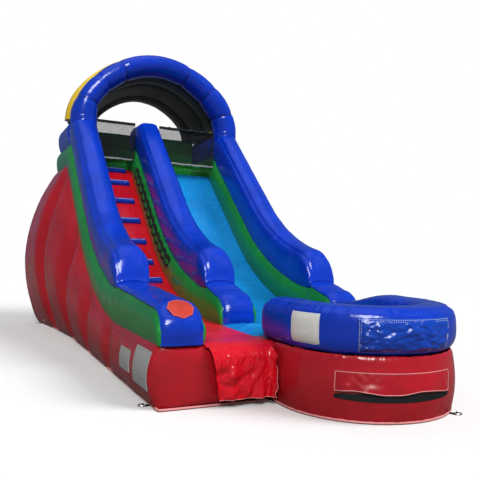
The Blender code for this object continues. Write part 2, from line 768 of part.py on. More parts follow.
def build_rear_wall():
    """The quilted wall across the back of the platform."""
    low = PLATFORM_TOP - SKIN
    high = SIDE_TUBE_TOP - FIT_GAP
    rear = BODY_REAR - REAR_WALL_SETBACK
    roll = (high - low) / REAR_WALL_ROLLS
    back = []
    front = []
    for index in range(REAR_WALL_ROLLS):
        for share, depth in ((0.0, 1.0), (0.2, 0.3), (0.5, 0.0), (0.8, 0.3)):
            height = low + roll * (index + share)
            groove = 0.0 if index == 0 and share == 0.0 else REAR_WALL_GROOVE * depth
            back.append((rear - groove, height))
            front.append((rear - REAR_WALL_THICK + groove, height))
    back.append((rear - REAR_WALL_GROOVE, high))
    front.append((rear - REAR_WALL_THICK + REAR_WALL_GROOVE, high))
    outline = back + front[::-1]
    half = inner_half()
    rings = [[Vector((x, y, z)) for y, z in outline] for x in (-half, half)]
    return loft("rear_wall", rings, "green")


# Lane panels, rungs and hand strap

def lane_edges():
    """Left and right edges of the climbing lane and of the sliding lane."""
    centres = wall_centres()
    half = WALL_WIDTH / 2 + FIT_GAP
    climb = (centres["left"] + half, centres["divider"] - half)
    slide = (centres["divider"] + half, centres["right"] - half)
    return climb, slide


def build_lane_panel(name, edges, front, colour, rear):
    """A vinyl panel that lines a lane from front to rear."""
    path = [spot for spot in lane_profile() if front < spot[0] < rear]
    path = [(front, lane_height(front))] + path + [(rear, lane_height(rear))]
    under = offset_path(path, -SKIN)
    left, right = edges
    rings = []
    for (y0, z0), (y1, z1) in zip(path, under):
        rings.append([Vector((left, y0, z0)), Vector((right, y0, z0)),
                      Vector((right, y1, z1)), Vector((left, y1, z1))])
    return loft(name, rings, colour)


def build_rungs():
    (left, right), _ = lane_edges()
    slope = [spot for spot in lane_profile() if spot[0] <= PLATFORM_SETBACK]
    for index in range(RUNG_COUNT):
        below = RUNG_COUNT - 1 - index
        distance = RUNG_TOP_SETBACK + min(below, 1) * (RUNG_FIRST_PITCH - RUNG_PITCH) + RUNG_PITCH * below
        upper, _ = path_point(slope, distance - RUNG_WIDTH / 2)
        lower, _ = path_point(slope, distance + RUNG_WIDTH / 2)
        ahead = (upper[0] - lower[0]) / math.dist(upper, lower)
        up = (upper[1] - lower[1]) / math.dist(upper, lower)
        middle = ((upper[0] + lower[0]) / 2, (upper[1] + lower[1]) / 2)
        ring = []
        for step in range(RUNG_SIDES + 1):
            turn = math.pi * step / RUNG_SIDES
            along = math.dist(upper, lower) / 2 * math.cos(turn)
            lift = FIT_GAP + RUNG_HEIGHT * math.sin(turn)
            ring.append((middle[0] + ahead * along - up * lift, middle[1] + up * along + ahead * lift))
        rings = [[Vector((x, py, pz)) for py, pz in ring]
                 for x in (left + RUNG_LEFT_SPACE, right - RUNG_RIGHT_SPACE)]
        loft("rung_%d" % (index + 1), rings, "blue")


def build_hand_strap():
    """A webbing ladder of oval holds along the divider's climbing side."""
    slope = [spot for spot in lane_profile() if spot[0] <= PLATFORM_SETBACK]
    line = offset_path(slope, STRAP_CENTRE)
    length = STRAP_LOOPS * STRAP_PITCH
    start = STRAP_TOP_SETBACK
    stations = [start + length * step / (2 * STRAP_LOOPS) for step in range(2 * STRAP_LOOPS + 1)]
    upper = []
    lower = []
    for distance in stations:
        (y, z), (ahead, up) = path_point(line, distance)
        reach = STRAP_HEIGHT / 2
        upper.append((y - up * reach, z + ahead * reach))
        lower.append((y + up * reach, z - ahead * reach))
    holes = []
    for index in range(STRAP_LOOPS):
        (y, z), (ahead, up) = path_point(line, start + STRAP_PITCH * (index + 0.5))
        hole = []
        for step in range(STRAP_HOLE_SIDES):
            turn = 2 * math.pi * step / STRAP_HOLE_SIDES
            along = STRAP_HOLE_LENGTH / 2 * math.cos(turn)
            lift = STRAP_HOLE_HEIGHT / 2 * math.sin(turn)
            hole.append((y + ahead * along - up * lift, z + up * along + ahead * lift))
        holes.append(hole)
    face = wall_centres()["divider"] - WALL_WIDTH / 2 - FIT_GAP

    def place(u, v, depth):
        return Vector((face - depth, u, v))

    return prism("hand_strap", upper + lower[::-1], place, WEBBING, "black", holes)


# Nets and sprinkler

def net_spans():
    half = inner_half()
    reach = WALL_WIDTH / 2 + TUBE_SWELL + SIDE_CLEARANCE
    return {"climb": (-half, DIVIDER_CENTRE - reach), "slide": (DIVIDER_CENTRE + reach, half)}


def build_net(lane):
    left, right = net_spans()[lane]
    outline = [(left, NET_BOTTOM), (right, NET_BOTTOM), (right, NET_TOP), (left, NET_TOP)]
    wide = right - left - 2 * NET_HEM
    tall = NET_TOP - NET_BOTTOM - 2 * NET_HEM
    columns = max(int(wide / NET_PITCH), 1)
    rows = max(int(tall / NET_PITCH), 1)
    holes = []
    for row in range(rows):
        for column in range(columns):
            x0 = left + NET_HEM + wide * column / columns + NET_CORD / 2
            x1 = left + NET_HEM + wide * (column + 1) / columns - NET_CORD / 2
            z0 = NET_BOTTOM + NET_HEM + tall * row / rows + NET_CORD / 2
            z1 = NET_BOTTOM + NET_HEM + tall * (row + 1) / rows - NET_CORD / 2
            holes.append([(x0, z0), (x1, z0), (x1, z1), (x0, z1)])

    def place(u, v, depth):
        return Vector((u, depth - NET_THICK / 2, v))

    prism(lane + "_net", outline, place, NET_THICK, "black", holes)
    low = NET_TOP + FIT_GAP
    strap = box_mesh(lane + "_net_strap", (left, -NET_THICK / 2, low),
                     (right, NET_THICK / 2, low + NET_STRAP_HEIGHT))
    add_object(lane + "_net_strap", strap, "black", smooth=False)


def build_sprinkler():
    """The sprinkler hose tied along the strap over the sliding lane."""
    left, right = net_spans()["slide"]
    y = -NET_THICK / 2 - TIE_THICK - 3 * FIT_GAP - HOSE_RADIUS
    z = NET_TOP + FIT_GAP + NET_STRAP_HEIGHT / 2
    start = left + HOSE_WALL_GAP
    end = right - HOSE_WALL_GAP - COUPLING_LENGTH
    curve = bpy.data.curves.new("sprinkler_hose", "CURVE")
    curve.dimensions = "3D"
    curve.bevel_depth = HOSE_RADIUS
    curve.bevel_resolution = HOSE_SIDES_RESOLUTION
    curve.render_resolution_u = 0
    curve.use_fill_caps = True
    spline = curve.splines.new("POLY")
    spline.points.add(1)
    spline.points[0].co = (start, y, z, 1.0)
    spline.points[1].co = (end, y, z, 1.0)
    hose = bpy.data.objects.new("sprinkler_hose", curve)
    hose.data.materials.append(material("black"))
    bpy.context.scene.collection.objects.link(hose)
    rings = []
    shape = ((0.0, 0.8), (0.12, 1.0), (0.88, 1.0), (1.0, 0.8))
    for share, size in shape:
        x = end + FIT_GAP + COUPLING_LENGTH * share
        rings.append([Vector((x, y + COUPLING_RADIUS * size * math.cos(turn) - (COUPLING_RADIUS - HOSE_RADIUS),
                              z + COUPLING_RADIUS * size * math.sin(turn)))
                      for turn in (2 * math.pi * step / COUPLING_SIDES for step in range(COUPLING_SIDES))])
    loft("hose_coupling", rings, "brass")
    for index in range(TIE_COUNT):
        centre = start + (end - start) * (index + 0.5) / TIE_COUNT
        build_tie("hose_tie_%d" % (index + 1), centre, y, z)


def build_tie(name, x, y, z):
    """A webbing loop that holds the hose to the net's top strap."""
    inner = (HOSE_RADIUS + 2 * FIT_GAP) / math.cos(math.pi / TIE_SIDES)
    rings = []
    for step in range(TIE_SIDES):
        turn = 2 * math.pi * (step + 0.5) / TIE_SIDES
        ring = []
        for across, reach in ((-TIE_WIDTH / 2, inner), (-TIE_WIDTH / 2, inner + TIE_THICK),
                              (TIE_WIDTH / 2, inner + TIE_THICK), (TIE_WIDTH / 2, inner)):
            ring.append(Vector((x + across, y + reach * math.cos(turn), z + reach * math.sin(turn))))
        rings.append(ring)
    return loft(name, rings, "black", closed=True)


# Splash pool

def pool_centre_y():
    return BODY_FRONT - POOL_CENTRE_AHEAD


def build_pool_base():
    """The red base of the pool, against the body's front face."""
    centre_y = pool_centre_y()
    back = BODY_FRONT - 2 * FIT_GAP
    top = LANDING_TOP - BODY_TOP_DROP
    rings = []
    for share in POOL_LEVEL_SHARES:
        radius = POOL_RADIUS + POOL_BULGE * (math.sin(math.pi * share) - 1.0)
        ring = [Vector((POOL_CENTRE_X + radius, back, top * share))]
        for step in range(POOL_STEPS + 1):
            turn = -math.pi * step / POOL_STEPS
            ring.append(Vector((POOL_CENTRE_X + radius * math.cos(turn), centre_y + radius * math.sin(turn),
                                top * share)))
        ring.append(Vector((POOL_CENTRE_X - radius, back, top * share)))
        rings.append(ring)
    return loft("pool_base", rings, "red")


def pool_line():
    """Centre line of the blue ring, from its left end round the front to the right wall."""
    centre_y = pool_centre_y()
    radius = POOL_RADIUS - POOL_TUBE_WIDTH / 2
    points = [(POOL_CENTRE_X - radius, centre_y + POOL_TAIL - POOL_TUBE_WIDTH / 2)]
    for step in range(POOL_STEPS + 1):
        turn = math.pi + math.pi * step / POOL_STEPS
        points.append((POOL_CENTRE_X + radius * math.cos(turn), centre_y + radius * math.sin(turn)))
    end = (wall_centres()["right"], nose_front("right") - 2 * FIT_GAP)
    first = points[-1]
    for share in (0.35, 0.7):
        bend = share * share * (3.0 - 2.0 * share)
        points.append((first[0] + (end[0] - first[0]) * bend, first[1] + (end[1] - first[1]) * share))
    return points + [end]


def pool_section(half, tall):
    low = LANDING_TOP - SKIN
    points = [(-POOL_TUBE_FOOT / 2 * half, low), (POOL_TUBE_FOOT / 2 * half, low)]
    middle = low + POOL_TUBE_HEIGHT * tall / 2
    for angle in (-28, 5, 40, 90, 140, 175, 208):
        turn = math.radians(angle)
        points.append((POOL_TUBE_WIDTH / 2 * half * math.cos(turn),
                       middle + POOL_TUBE_HEIGHT / 2 * tall * math.sin(turn)))
    return points


def build_pool_ring():
    line = pool_line()
    rings = []
    first = Vector(line[0])
    ahead = (Vector(line[1]) - first).normalized()
    for reach, share in ((0.5, 0.45), (0.42, 0.72), (0.25, 0.92)):
        spot = first - ahead * POOL_TUBE_WIDTH * reach
        rings.append(pool_ring_section(spot, ahead, share))
    for index, place in enumerate(line):
        before = Vector(line[max(index - 1, 0)])
        after = Vector(line[min(index + 1, len(line) - 1)])
        heading = (after - before).normalized()
        if index == len(line) - 1:
            heading = Vector((0.0, 1.0))
        ahead_of_end = len(line) - 1 - index
        fall = RING_FALL_SHARES[-1 - ahead_of_end] if ahead_of_end < len(RING_FALL_SHARES) else 1.0
        rings.append(pool_ring_section(Vector(place), heading, 1.0, fall))
    return loft("pool_ring", rings, "blue")


def pool_ring_section(spot, heading, share, fall=1.0):
    outward = Vector((heading.y, -heading.x))
    ring = []
    for across, z in pool_section(share, fall * (share if share > 0.9 else share ** 0.5)):
        place = spot + outward * across
        ring.append(Vector((place.x, place.y, z)))
    return ring


def pool_floor_outline():
    """Landing and pool floor between the divider, the right wall and the ring."""
    centre_y = pool_centre_y()
    radius = POOL_RADIUS - POOL_TUBE_WIDTH
    divider = wall_centres()["divider"]
    rear = nose_front("right") - 3 * FIT_GAP
    right = wall_centres()["right"] - WALL_WIDTH / 2 - FIT_GAP
    points = [(right, rear), (divider, rear)]
    tail = pool_line()[0][1]
    behind_ring = tail + POOL_TUBE_WIDTH / 2 + MAT_MARGIN
    points += [(POOL_CENTRE_X - radius - POOL_TUBE_WIDTH / 2, behind_ring),
               (POOL_CENTRE_X - radius + MAT_MARGIN, behind_ring),
               (POOL_CENTRE_X - radius + MAT_MARGIN, tail)]
    inner = radius - MAT_MARGIN
    for step in range(POOL_STEPS + 1):
        turn = math.pi + math.pi * step / POOL_STEPS
        points.append((POOL_CENTRE_X + inner * math.cos(turn), centre_y + inner * math.sin(turn)))
    for x, y in pool_line()[-3:-1]:
        points.append((x - POOL_TUBE_WIDTH / 2 - MAT_MARGIN, y))
    return points


def level_plate(name, outline, colour):
    """A vinyl panel that lies on the front deck."""

    def place(u, v, depth):
        return Vector((u, v, LANDING_TOP - SKIN + depth))

    return prism(name, outline, place, SKIN, colour)


def build_entrance():
    """The red mat between the left nose and the pool, and its hanging flap."""
    (left, right), _ = lane_edges()
    rear = CURVE_FOOT - FIT_GAP
    divider = wall_centres()["divider"]
    front_of_divider = nose_front("divider") - 3 * FIT_GAP
    tail = pool_line()[0][1]
    ring_left = POOL_CENTRE_X - POOL_RADIUS
    behind_ring = tail + POOL_TUBE_WIDTH / 2 + MAT_MARGIN
    gate = (ring_left + POOL_TUBE_WIDTH / 2 - 2 * FIT_GAP, behind_ring)
    front = BODY_FRONT - FLAP_CLEAR + FIT_GAP
    outline = [(left, front), (ring_left - MAT_MARGIN, front), (ring_left - MAT_MARGIN, behind_ring), gate,
               (divider - 2 * FIT_GAP, front_of_divider), (right, front_of_divider), (right, rear),
               (left, rear)]
    level_plate("entrance_mat", outline, "vivid_red")
    flap_left = ring_left - MAT_MARGIN - FLAP_WIDTH
    face = BODY_FRONT - FLAP_CLEAR
    low = LANDING_TOP - FLAP_LENGTH
    hinge = Vector((flap_left + FLAP_WIDTH / 2, face - FLAP_THICK / 2, LANDING_TOP))
    half = FLAP_WIDTH / 2
    back = face - hinge.y
    outline = [(-half, back), (-half, back - FLAP_THICK), (half - FLAP_THICK, back - FLAP_THICK),
               (half - FLAP_THICK, back - FLAP_RETURN), (half, back - FLAP_RETURN), (half, back)]

    def place(u, v, depth):
        return Vector((u, v, low - hinge.z + depth))

    flap = prism("mat_flap", outline, place, FLAP_LENGTH, "vivid_red")
    flap.location = hinge
    return flap


def wedge_mesh(name, angles, low, high, inner, outer):
    """A block round the pool between two angles and two heights."""
    centre_y = pool_centre_y()
    steps = 12
    rings = []
    for step in range(steps + 1):
        turn = math.radians(angles[0] + (angles[1] - angles[0]) * step / steps)
        aim = Vector((math.cos(turn), math.sin(turn), 0.0))
        spot = Vector((POOL_CENTRE_X, centre_y, 0.0))
        ring = []
        for reach, height in ((inner, low), (outer, low), (outer, high), (inner, high)):
            point = spot + aim * reach
            point.z = height
            ring.append(point)
        rings.append(ring)
    count = 4
    points = [tuple(point) for ring in rings for point in ring]
    faces = [(0, 1, 2, 3), tuple(range(steps * count, steps * count + count))]
    for row in range(steps):
        for column in range(count):
            after = (column + 1) % count
            faces.append((row * count + column, row * count + after, (row + 1) * count + after,
                          (row + 1) * count + column))
    return mesh_from_faces(name, points, faces)


def pool_radius_at(height):
    """Radius of the pool base at a height, on its flat faces."""
    share = height / (LANDING_TOP - BODY_TOP_DROP)
    table = [(level, POOL_RADIUS + POOL_BULGE * (math.sin(math.pi * level) - 1.0))
             for level in POOL_LEVEL_SHARES]
    return share_at(table, share)


def build_pool_panels(base, ring):
    """Panels sewn to the outside of the pool, the zipped drain and its flap."""
    inner = POOL_RADIUS - POOL_TUBE_WIDTH / 3
    outer = POOL_RADIUS + POOL_TUBE_WIDTH / 3

    def block(name, angles, low, high):
        return wedge_mesh(name, angles, low, high, inner, outer)

    low, high = (LANDING_TOP + POOL_TUBE_HEIGHT * share for share in SIGN_HEIGHT_SHARES)
    panel_on("sign_panel", ring, block("sign_panel", SIGN_ANGLES, low, high), "pale")
    low, high = (LANDING_TOP + POOL_TUBE_HEIGHT * share for share in POCKET_HEIGHT_SHARES)
    panel_on("pool_pocket", ring, block("pool_pocket", POCKET_ANGLES, low, high), "blue", POCKET_THICK)
    panel_on("zip_tape", base, block("zip_tape", ZIP_ANGLES, ZIP_LOW, ZIP_HIGH), "black")
    build_zip_slider()
    flap = panel_on("zip_flap", base, block("zip_flap", ZIP_ANGLES, ZIP_FLAP_LOW, ZIP_FLAP_HIGH), "red",
                    FLAP_THICK / 2, 2 * FIT_GAP)
    put_origin(flap, flap_hinge()[0])


def put_origin(item, origin):
    """Moves an object's origin without moving its shape."""
    item.data.transform(Matrix.Translation(-origin))
    item.location = origin


def flap_hinge():
    """Middle of the chord under the zip flap's curved top edge, and the chord's direction."""
    turn = math.radians(sum(ZIP_ANGLES) / 2)
    reach = pool_radius_at(ZIP_FLAP_HIGH) * math.cos(math.radians(ZIP_ANGLES[1] - ZIP_ANGLES[0]) / 2)
    spot = Vector((POOL_CENTRE_X + reach * math.cos(turn), pool_centre_y() + reach * math.sin(turn),
                   ZIP_FLAP_HIGH))
    return spot, Vector((-math.sin(turn), math.cos(turn), 0.0))


def build_zip_slider():
    """The zip's slider, which runs round the pool's upright axis."""
    middle = (ZIP_LOW + ZIP_HIGH) / 2
    half = ZIP_SLIDER_LENGTH / 3
    face = max(pool_radius_at(middle - half), pool_radius_at(middle + half)) + PATCH_THICK + 2 * FIT_GAP
    slider = box_mesh("zip_slider", (face, -ZIP_SLIDER_LENGTH / 2, middle - half),
                      (face + ZIP_SLIDER_THICK, ZIP_SLIDER_LENGTH / 2, middle + half))
    item = add_object("zip_slider", slider, "steel", smooth=False)
    step = math.pi / POOL_STEPS
    turn = math.ceil(math.radians(ZIP_ANGLES[0]) / step) * step
    item.location = (POOL_CENTRE_X, pool_centre_y(), 0.0)
    item.rotation_euler.z = turn


# Patches on the left nose and side

def build_patches(body):
    for name, start, length, low, high in (("label_small", LABEL_SMALL_START, LABEL_SMALL_LENGTH,
                                            LABEL_SMALL_LOW, LABEL_SMALL_HIGH),
                                           ("label_large", LABEL_LARGE_START, LABEL_LARGE_LENGTH,
                                            LABEL_LARGE_LOW, LABEL_LARGE_HIGH)):
        y = BODY_FRONT + start
        block = box_mesh(name, (-2 * HALF_WIDTH, y, low), (-HALF_WIDTH / 2, y + length, high))
        panel_on(name, body, block, "pale")
    centre_x = wall_centres()["left"]
    turn = OCTAGON_TILT
    top = LANDING_TOP + NOSE_FRONT_HEIGHT
    pivot = Vector((centre_x, nose_front("left") + NOSE_ROUND, top - NOSE_ROUND))
    aim = Vector((0.0, -math.cos(turn), math.sin(turn)))
    across = Vector((0.0, math.sin(turn), math.cos(turn)))
    rings = []
    for reach in (NOSE_ROUND / 4, 2 * NOSE_ROUND):
        ring = []
        for step in range(8):
            angle = 2 * math.pi * (step + 0.5) / 8
            side = Vector((math.cos(angle), 0.0, 0.0)) + across * math.sin(angle)
            ring.append(tuple(pivot + aim * reach + side * OCTAGON_RADIUS))
        rings.append(ring)
    faces = [tuple(range(8)), tuple(range(8, 16))]
    faces += [(step, (step + 1) % 8, 8 + (step + 1) % 8, 8 + step) for step in range(8)]
    block = mesh_from_faces("octagon_patch", rings[0] + rings[1], faces)
    panel_on("octagon_patch", nose_block("left"), block, "coral")


def nose_block(side):
    """The whole nose as a hidden solid, for panels that follow its top."""
    lowest = wall_centres()[side] - WALL_WIDTH / 2

    def place(u, v, depth):
        return Vector((lowest + depth, u, v))

    outline = nose_outline(side)
    outline.append((outline[-1][0], outline[0][1]))
    block = prism(side + "_nose_block", outline, place, WALL_WIDTH, "green")
    block.hide_render = True
    block.display_type = "WIRE"
    return block


# Ground anchors and blower sleeve

def ground_edge(y):
    return HALF_WIDTH + side_reach(y, lane_height(y), 0.0)


def anchor_places():
    """Each anchor's name, its point on the ground edge, outward angle and host."""
    front_y = BODY_FRONT + ANCHOR_FRONT_SETBACK
    rear_y = BODY_REAR - ANCHOR_REAR_SETBACK
    turn = math.radians(ANCHOR_POOL_ANGLE)
    reach = pool_radius_at(0.0)
    pool = (POOL_CENTRE_X + reach * math.cos(turn), pool_centre_y() + reach * math.sin(turn))
    return (("front", (-ground_edge(front_y), front_y), math.pi, "slide_body"),
            ("pool", pool, turn, "pool_base"),
            ("rear_left", (-ground_edge(rear_y), rear_y), math.pi, "slide_body"),
            ("rear_right", (ground_edge(rear_y), rear_y), 0.0, "slide_body"))


def build_anchor(name, place, turn, host):
    """A webbing tab with a rolled eye, and the steel ring that swings in it."""
    eye = RING_ROD / 2 + EYE_CLEAR
    outer = eye + ANCHOR_THICK
    start = -ANCHOR_REACH / 2
    outline = [(start, 0.0), (ANCHOR_REACH, 0.0)]
    closing = math.pi + math.asin((outer - ANCHOR_THICK) / outer)
    for step in range(1, 9):
        angle = -math.pi / 2 + (closing + math.pi / 2) * step / 9
        outline.append((ANCHOR_REACH + outer * math.cos(angle), outer + outer * math.sin(angle)))
    outline += [(ANCHOR_REACH + outer * math.cos(closing), ANCHOR_THICK), (start, ANCHOR_THICK)]
    hole = [(ANCHOR_REACH + eye * math.cos(angle), outer + eye * math.sin(angle))
            for angle in (2 * math.pi * step / 8 for step in range(8))]

    def place_tab(u, v, depth):
        return Vector((u, depth - ANCHOR_WIDTH / 2, v))

    where = Matrix.Translation((*place, 0.0)) @ Matrix.Rotation(turn, 4, "Z")
    tab = prism(name + "_anchor_tab", outline, place_tab, ANCHOR_WIDTH, "red", [hole])
    tab.data.transform(where)
    cut(tab, swollen_copy(bpy.data.objects[host], FIT_GAP))
    half = RING_WIDTH / 2 + 2 * RING_ROD / 2
    path = [(0.0, -half), (0.0, half)]
    for step in range(1, RING_STEPS):
        angle = math.pi / 2 - math.pi * step / RING_STEPS
        path.append((RING_LENGTH * math.cos(angle), half * math.sin(angle)))
    rings = []
    for index, spot in enumerate(path):
        before = Vector(spot) - Vector(path[index - 1])
        after = Vector(path[(index + 1) % len(path)]) - Vector(spot)
        heading = (before.normalized() + after.normalized()).normalized()
        side = Vector((heading.y, -heading.x))
        stretch = 1.0 / max(heading.dot(after.normalized()), 0.5)
        ring = []
        for corner in range(6):
            angle = 2 * math.pi * corner / 6
            shift = side * (RING_ROD / 2 * math.cos(angle) * stretch)
            ring.append(Vector((spot[0] + shift.x, spot[1] + shift.y, RING_ROD / 2 * math.sin(angle))))
        rings.append(ring)
    ring = loft(name + "_anchor_ring", rings, "steel", closed=True)
    ring.matrix_world = where @ Matrix.Translation((ANCHOR_REACH, 0.0, outer))
    return ring


def tube_mesh(name, centre, radius, wall, y0, y1):
    """A hollow cylinder along y, open at both ends."""
    rings = []
    for y, reach in ((y0, radius), (y1, radius), (y1, radius - wall), (y0, radius - wall)):
        rings.append([(centre[0] + reach * math.cos(turn), y, centre[1] + reach * math.sin(turn))
                      for turn in (2 * math.pi * step / SLEEVE_SIDES for step in range(SLEEVE_SIDES))])
    faces = []
    for row in range(4):
        there = (row + 1) % 4
        for step in range(SLEEVE_SIDES):
            after = (step + 1) % SLEEVE_SIDES
            faces.append((row * SLEEVE_SIDES + step, row * SLEEVE_SIDES + after,
                          there * SLEEVE_SIDES + after, there * SLEEVE_SIDES + step))
    return mesh_from_faces(name, [point for ring in rings for point in ring], faces)


def build_sleeve(body):
    """The open sleeve that the blower is strapped into, and its strap."""
    centre = (SLEEVE_X, SLEEVE_RADIUS + WEBBING + 3 * FIT_GAP)
    end = BODY_REAR + REAR_PILLOW + SLEEVE_LENGTH
    sleeve = add_object("blower_sleeve", tube_mesh("blower_sleeve", centre, SLEEVE_RADIUS, SLEEVE_WALL,
                                                   BODY_REAR - REAR_PILLOW, end), "red")
    cut(sleeve, swollen_copy(body, FIT_GAP))
    middle = end - SLEEVE_LENGTH / 3
    strap = tube_mesh("sleeve_strap", centre, SLEEVE_RADIUS + FIT_GAP + WEBBING, WEBBING,
                      middle - SLEEVE_STRAP_WIDTH / 2, middle + SLEEVE_STRAP_WIDTH / 2)
    add_object("sleeve_strap", strap, "black")


def main():
    clear_scene()
    body = body_loft("slide_body", 0.0)
    hollow_body(body)
    for side in ("left", "divider", "right"):
        build_low_wall(side)
        build_nose_ribbon(side)
        build_upper_tube(side)
    for side in ("left", "right"):
        build_side_tube(side)
    build_front_arch()
    build_roof()
    build_rear_wall()
    climb, slide = lane_edges()
    build_lane_panel("climb_panel", climb, CURVE_FOOT, "vivid_red", PLATFORM_SETBACK)
    build_lane_panel("slide_lane", slide, nose_front("right"), "light_blue", PLATFORM_SETBACK)
    level_plate("pool_floor", pool_floor_outline(), "light_blue")
    build_entrance()
    build_rungs()
    build_hand_strap()
    for lane in ("climb", "slide"):
        build_net(lane)
    build_sprinkler()
    base = build_pool_base()
    ring = build_pool_ring()
    build_pool_panels(base, ring)
    build_patches(body)
    for name, place, turn, host in anchor_places():
        build_anchor(name, place, turn, host)
    build_sleeve(body)


main()
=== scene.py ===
"""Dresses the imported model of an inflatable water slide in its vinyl, nets, straps and stitching.

It is laid out as an add-on: sizes and colours are properties, each group of pieces is an operator,
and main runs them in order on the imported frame.
"""
from functools import cache
from math import asin, atan, atan2, ceil, copysign, cos, exp, pi, radians, sin, sqrt, tan

import bmesh
import bpy
from mathutils import Matrix, Vector, noise


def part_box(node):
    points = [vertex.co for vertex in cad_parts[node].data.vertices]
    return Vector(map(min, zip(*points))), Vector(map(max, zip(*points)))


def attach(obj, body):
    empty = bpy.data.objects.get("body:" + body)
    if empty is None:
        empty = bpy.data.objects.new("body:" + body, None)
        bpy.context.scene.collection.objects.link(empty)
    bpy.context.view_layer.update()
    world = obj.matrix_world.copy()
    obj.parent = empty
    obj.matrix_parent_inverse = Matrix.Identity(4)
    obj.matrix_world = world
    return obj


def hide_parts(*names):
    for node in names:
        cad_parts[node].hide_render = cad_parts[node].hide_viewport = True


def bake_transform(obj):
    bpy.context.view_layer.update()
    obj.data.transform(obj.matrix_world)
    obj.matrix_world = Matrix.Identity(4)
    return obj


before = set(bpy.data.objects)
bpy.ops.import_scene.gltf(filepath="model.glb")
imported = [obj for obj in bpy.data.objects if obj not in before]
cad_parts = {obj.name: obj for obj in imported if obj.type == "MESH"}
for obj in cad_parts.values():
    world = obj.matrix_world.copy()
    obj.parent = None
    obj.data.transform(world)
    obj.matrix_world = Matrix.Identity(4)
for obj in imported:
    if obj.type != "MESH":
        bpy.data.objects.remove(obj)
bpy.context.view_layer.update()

bl_info = {
    "name": "Inflatable Water Slide",
    "version": (1, 0, 0),
    "blender": (4, 5, 0),
    "location": "View3D > Sidebar > Water Slide",
    "description": "Builds the vinyl, nets, straps and fittings of a water slide on its packed frame",
    "category": "Object",
}


@cache
def low(node):
    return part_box(node)[0].freeze()


@cache
def high(node):
    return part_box(node)[1].freeze()


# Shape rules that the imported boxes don't hold, in metres
RAMP_RADIUS = 3.6
RAMP_ANGLE = radians(42.0)
RAMP_COS, RAMP_SIN, RAMP_TAN = cos(RAMP_ANGLE), sin(RAMP_ANGLE), tan(RAMP_ANGLE)
SKIN = 0.004                                    # vinyl panel
RAISED = 0.0006                                 # air between two pieces that touch
LANDING_TOP = high("entrance_mat").z
PLATFORM_TOP = high("climb_panel").z
DECK = LANDING_TOP - SKIN - RAISED              # the red body under the mat
CURVE_FOOT = low("climb_panel").y
BODY_FRONT = low("slide_body").y
BODY_REAR = high("left_low_wall").y
HALF_WIDTH = high("right_low_wall").x
WALL_WIDTH = high("right_low_wall").x - low("right_low_wall").x
WALL_CENTRES = {"left": -HALF_WIDTH + WALL_WIDTH / 2,
                "divider": (low("divider_low_wall").x + high("divider_low_wall").x) / 2,
                "right": HALF_WIDTH - WALL_WIDTH / 2}
SLOPE_FOOT = CURVE_FOOT + RAMP_RADIUS * RAMP_SIN
ARC_TOP = LANDING_TOP + RAMP_RADIUS * (1.0 - RAMP_COS)
PLATFORM_EDGE = SLOPE_FOOT + (PLATFORM_TOP - ARC_TOP) / RAMP_TAN
ARC_LENGTH = RAMP_RADIUS * RAMP_ANGLE
LANE_LENGTH = ARC_LENGTH + (PLATFORM_TOP - ARC_TOP) / RAMP_SIN
LOW_WALL = 0.33
WALL_BELLY = 0.022
TUBE_HEIGHT = 0.47
TUBE_CREST = LOW_WALL + TUBE_HEIGHT
TUBE_HALF = 0.205
TUBE_NOSE = CURVE_FOOT + 0.31
TUBE_SEAMS = (radians(44.0), radians(136.0))
SIDE_TUBE_TOP = high("left_side_tube").z
SIDE_TUBE_FOOT = PLATFORM_TOP + LOW_WALL + RAISED
DIVIDER_HALF, DIVIDER_POWER = TUBE_HALF * 0.9, 3.6
BULB_LENGTH = 0.42
# Places along a bulb as shares of its length, each with its width there as a share of the tube's
BULB_WIDTHS = ((0.0, 0.86), (0.08, 0.95), (0.3, 1.02), (0.6, 1.0 + 0.012 / TUBE_HALF),
               (1.0, 1.04), (1.6, 0.98), (2.6, 1.0))
RIBBON = 0.02
RIBBON_HALF = 0.188
RIBBON_CROWN = 0.042
NOSE_ROUND = 0.24
NOSE_TOP = LANDING_TOP + 0.32                   # where the rounding ends
NOSE_CREASE = LANDING_TOP + 0.41                # where the nose meets its bulb
BULGE_PER_HEIGHT = 0.14
VALLEY_DEPTH_SHARE = 0.55
VALLEY_WIDTH = 0.16
BAFFLE_SPACING = 1.1
REAR_FLARE = 0.24
FLARE_REACH = 2.1
REAR_PILLOW = 0.15
REAR_PILLOW_EDGE = 0.3
ARCH_CENTRE = 0.035
ARCH_DEPTH = 0.46
ARCH_THICK = 0.40
ARCH_RISE = 0.99
ARCH_SHOULDER = 0.036
ARCH_DARTS = (0.085, 0.205, 0.325, 0.625, 0.765, 0.905)
BAND_OUTER = HALF_WIDTH + 0.035
BAND_RISE = ARCH_RISE + ARCH_THICK / 2 + 0.035
REAR_ARCH = (HALF_WIDTH - 0.235, 0.985, 0.33)
# Half width, rise and thickness of a roof member at its front and its rear
BAND_ENDS = {
    "roof_band_yellow": ((BAND_OUTER, BAND_RISE, 0.42), (BAND_OUTER, BAND_RISE, 0.42)),
    "roof_band_blue": ((BAND_OUTER - 0.05, BAND_RISE - 0.05, 0.36),
                       (BAND_OUTER - 0.17, BAND_RISE - 0.17, 0.36)),
    "rear_arch": (REAR_ARCH, REAR_ARCH),
}
RUNG_PITCH = 0.475
POOL_X = 0.42
POOL_Y = BODY_FRONT - 0.21
POOL_RADIUS = 0.82
POOL_BULGE = 0.035
POOL_BACK = BODY_FRONT - 0.0008
RING_HALF = 0.195
RING_TALL = 0.385
RING_POWER = 3.0
RING_FALL = 0.66                                # height of its end at the right wall, as a share
RING_PATH = POOL_RADIUS - RING_HALF
RING_TAIL = POOL_Y + 0.335
RING_STOP = RING_TAIL + RING_HALF               # rear of the ring's left end
RING_GAP = 0.012                                # from the ring to the sheets beside it
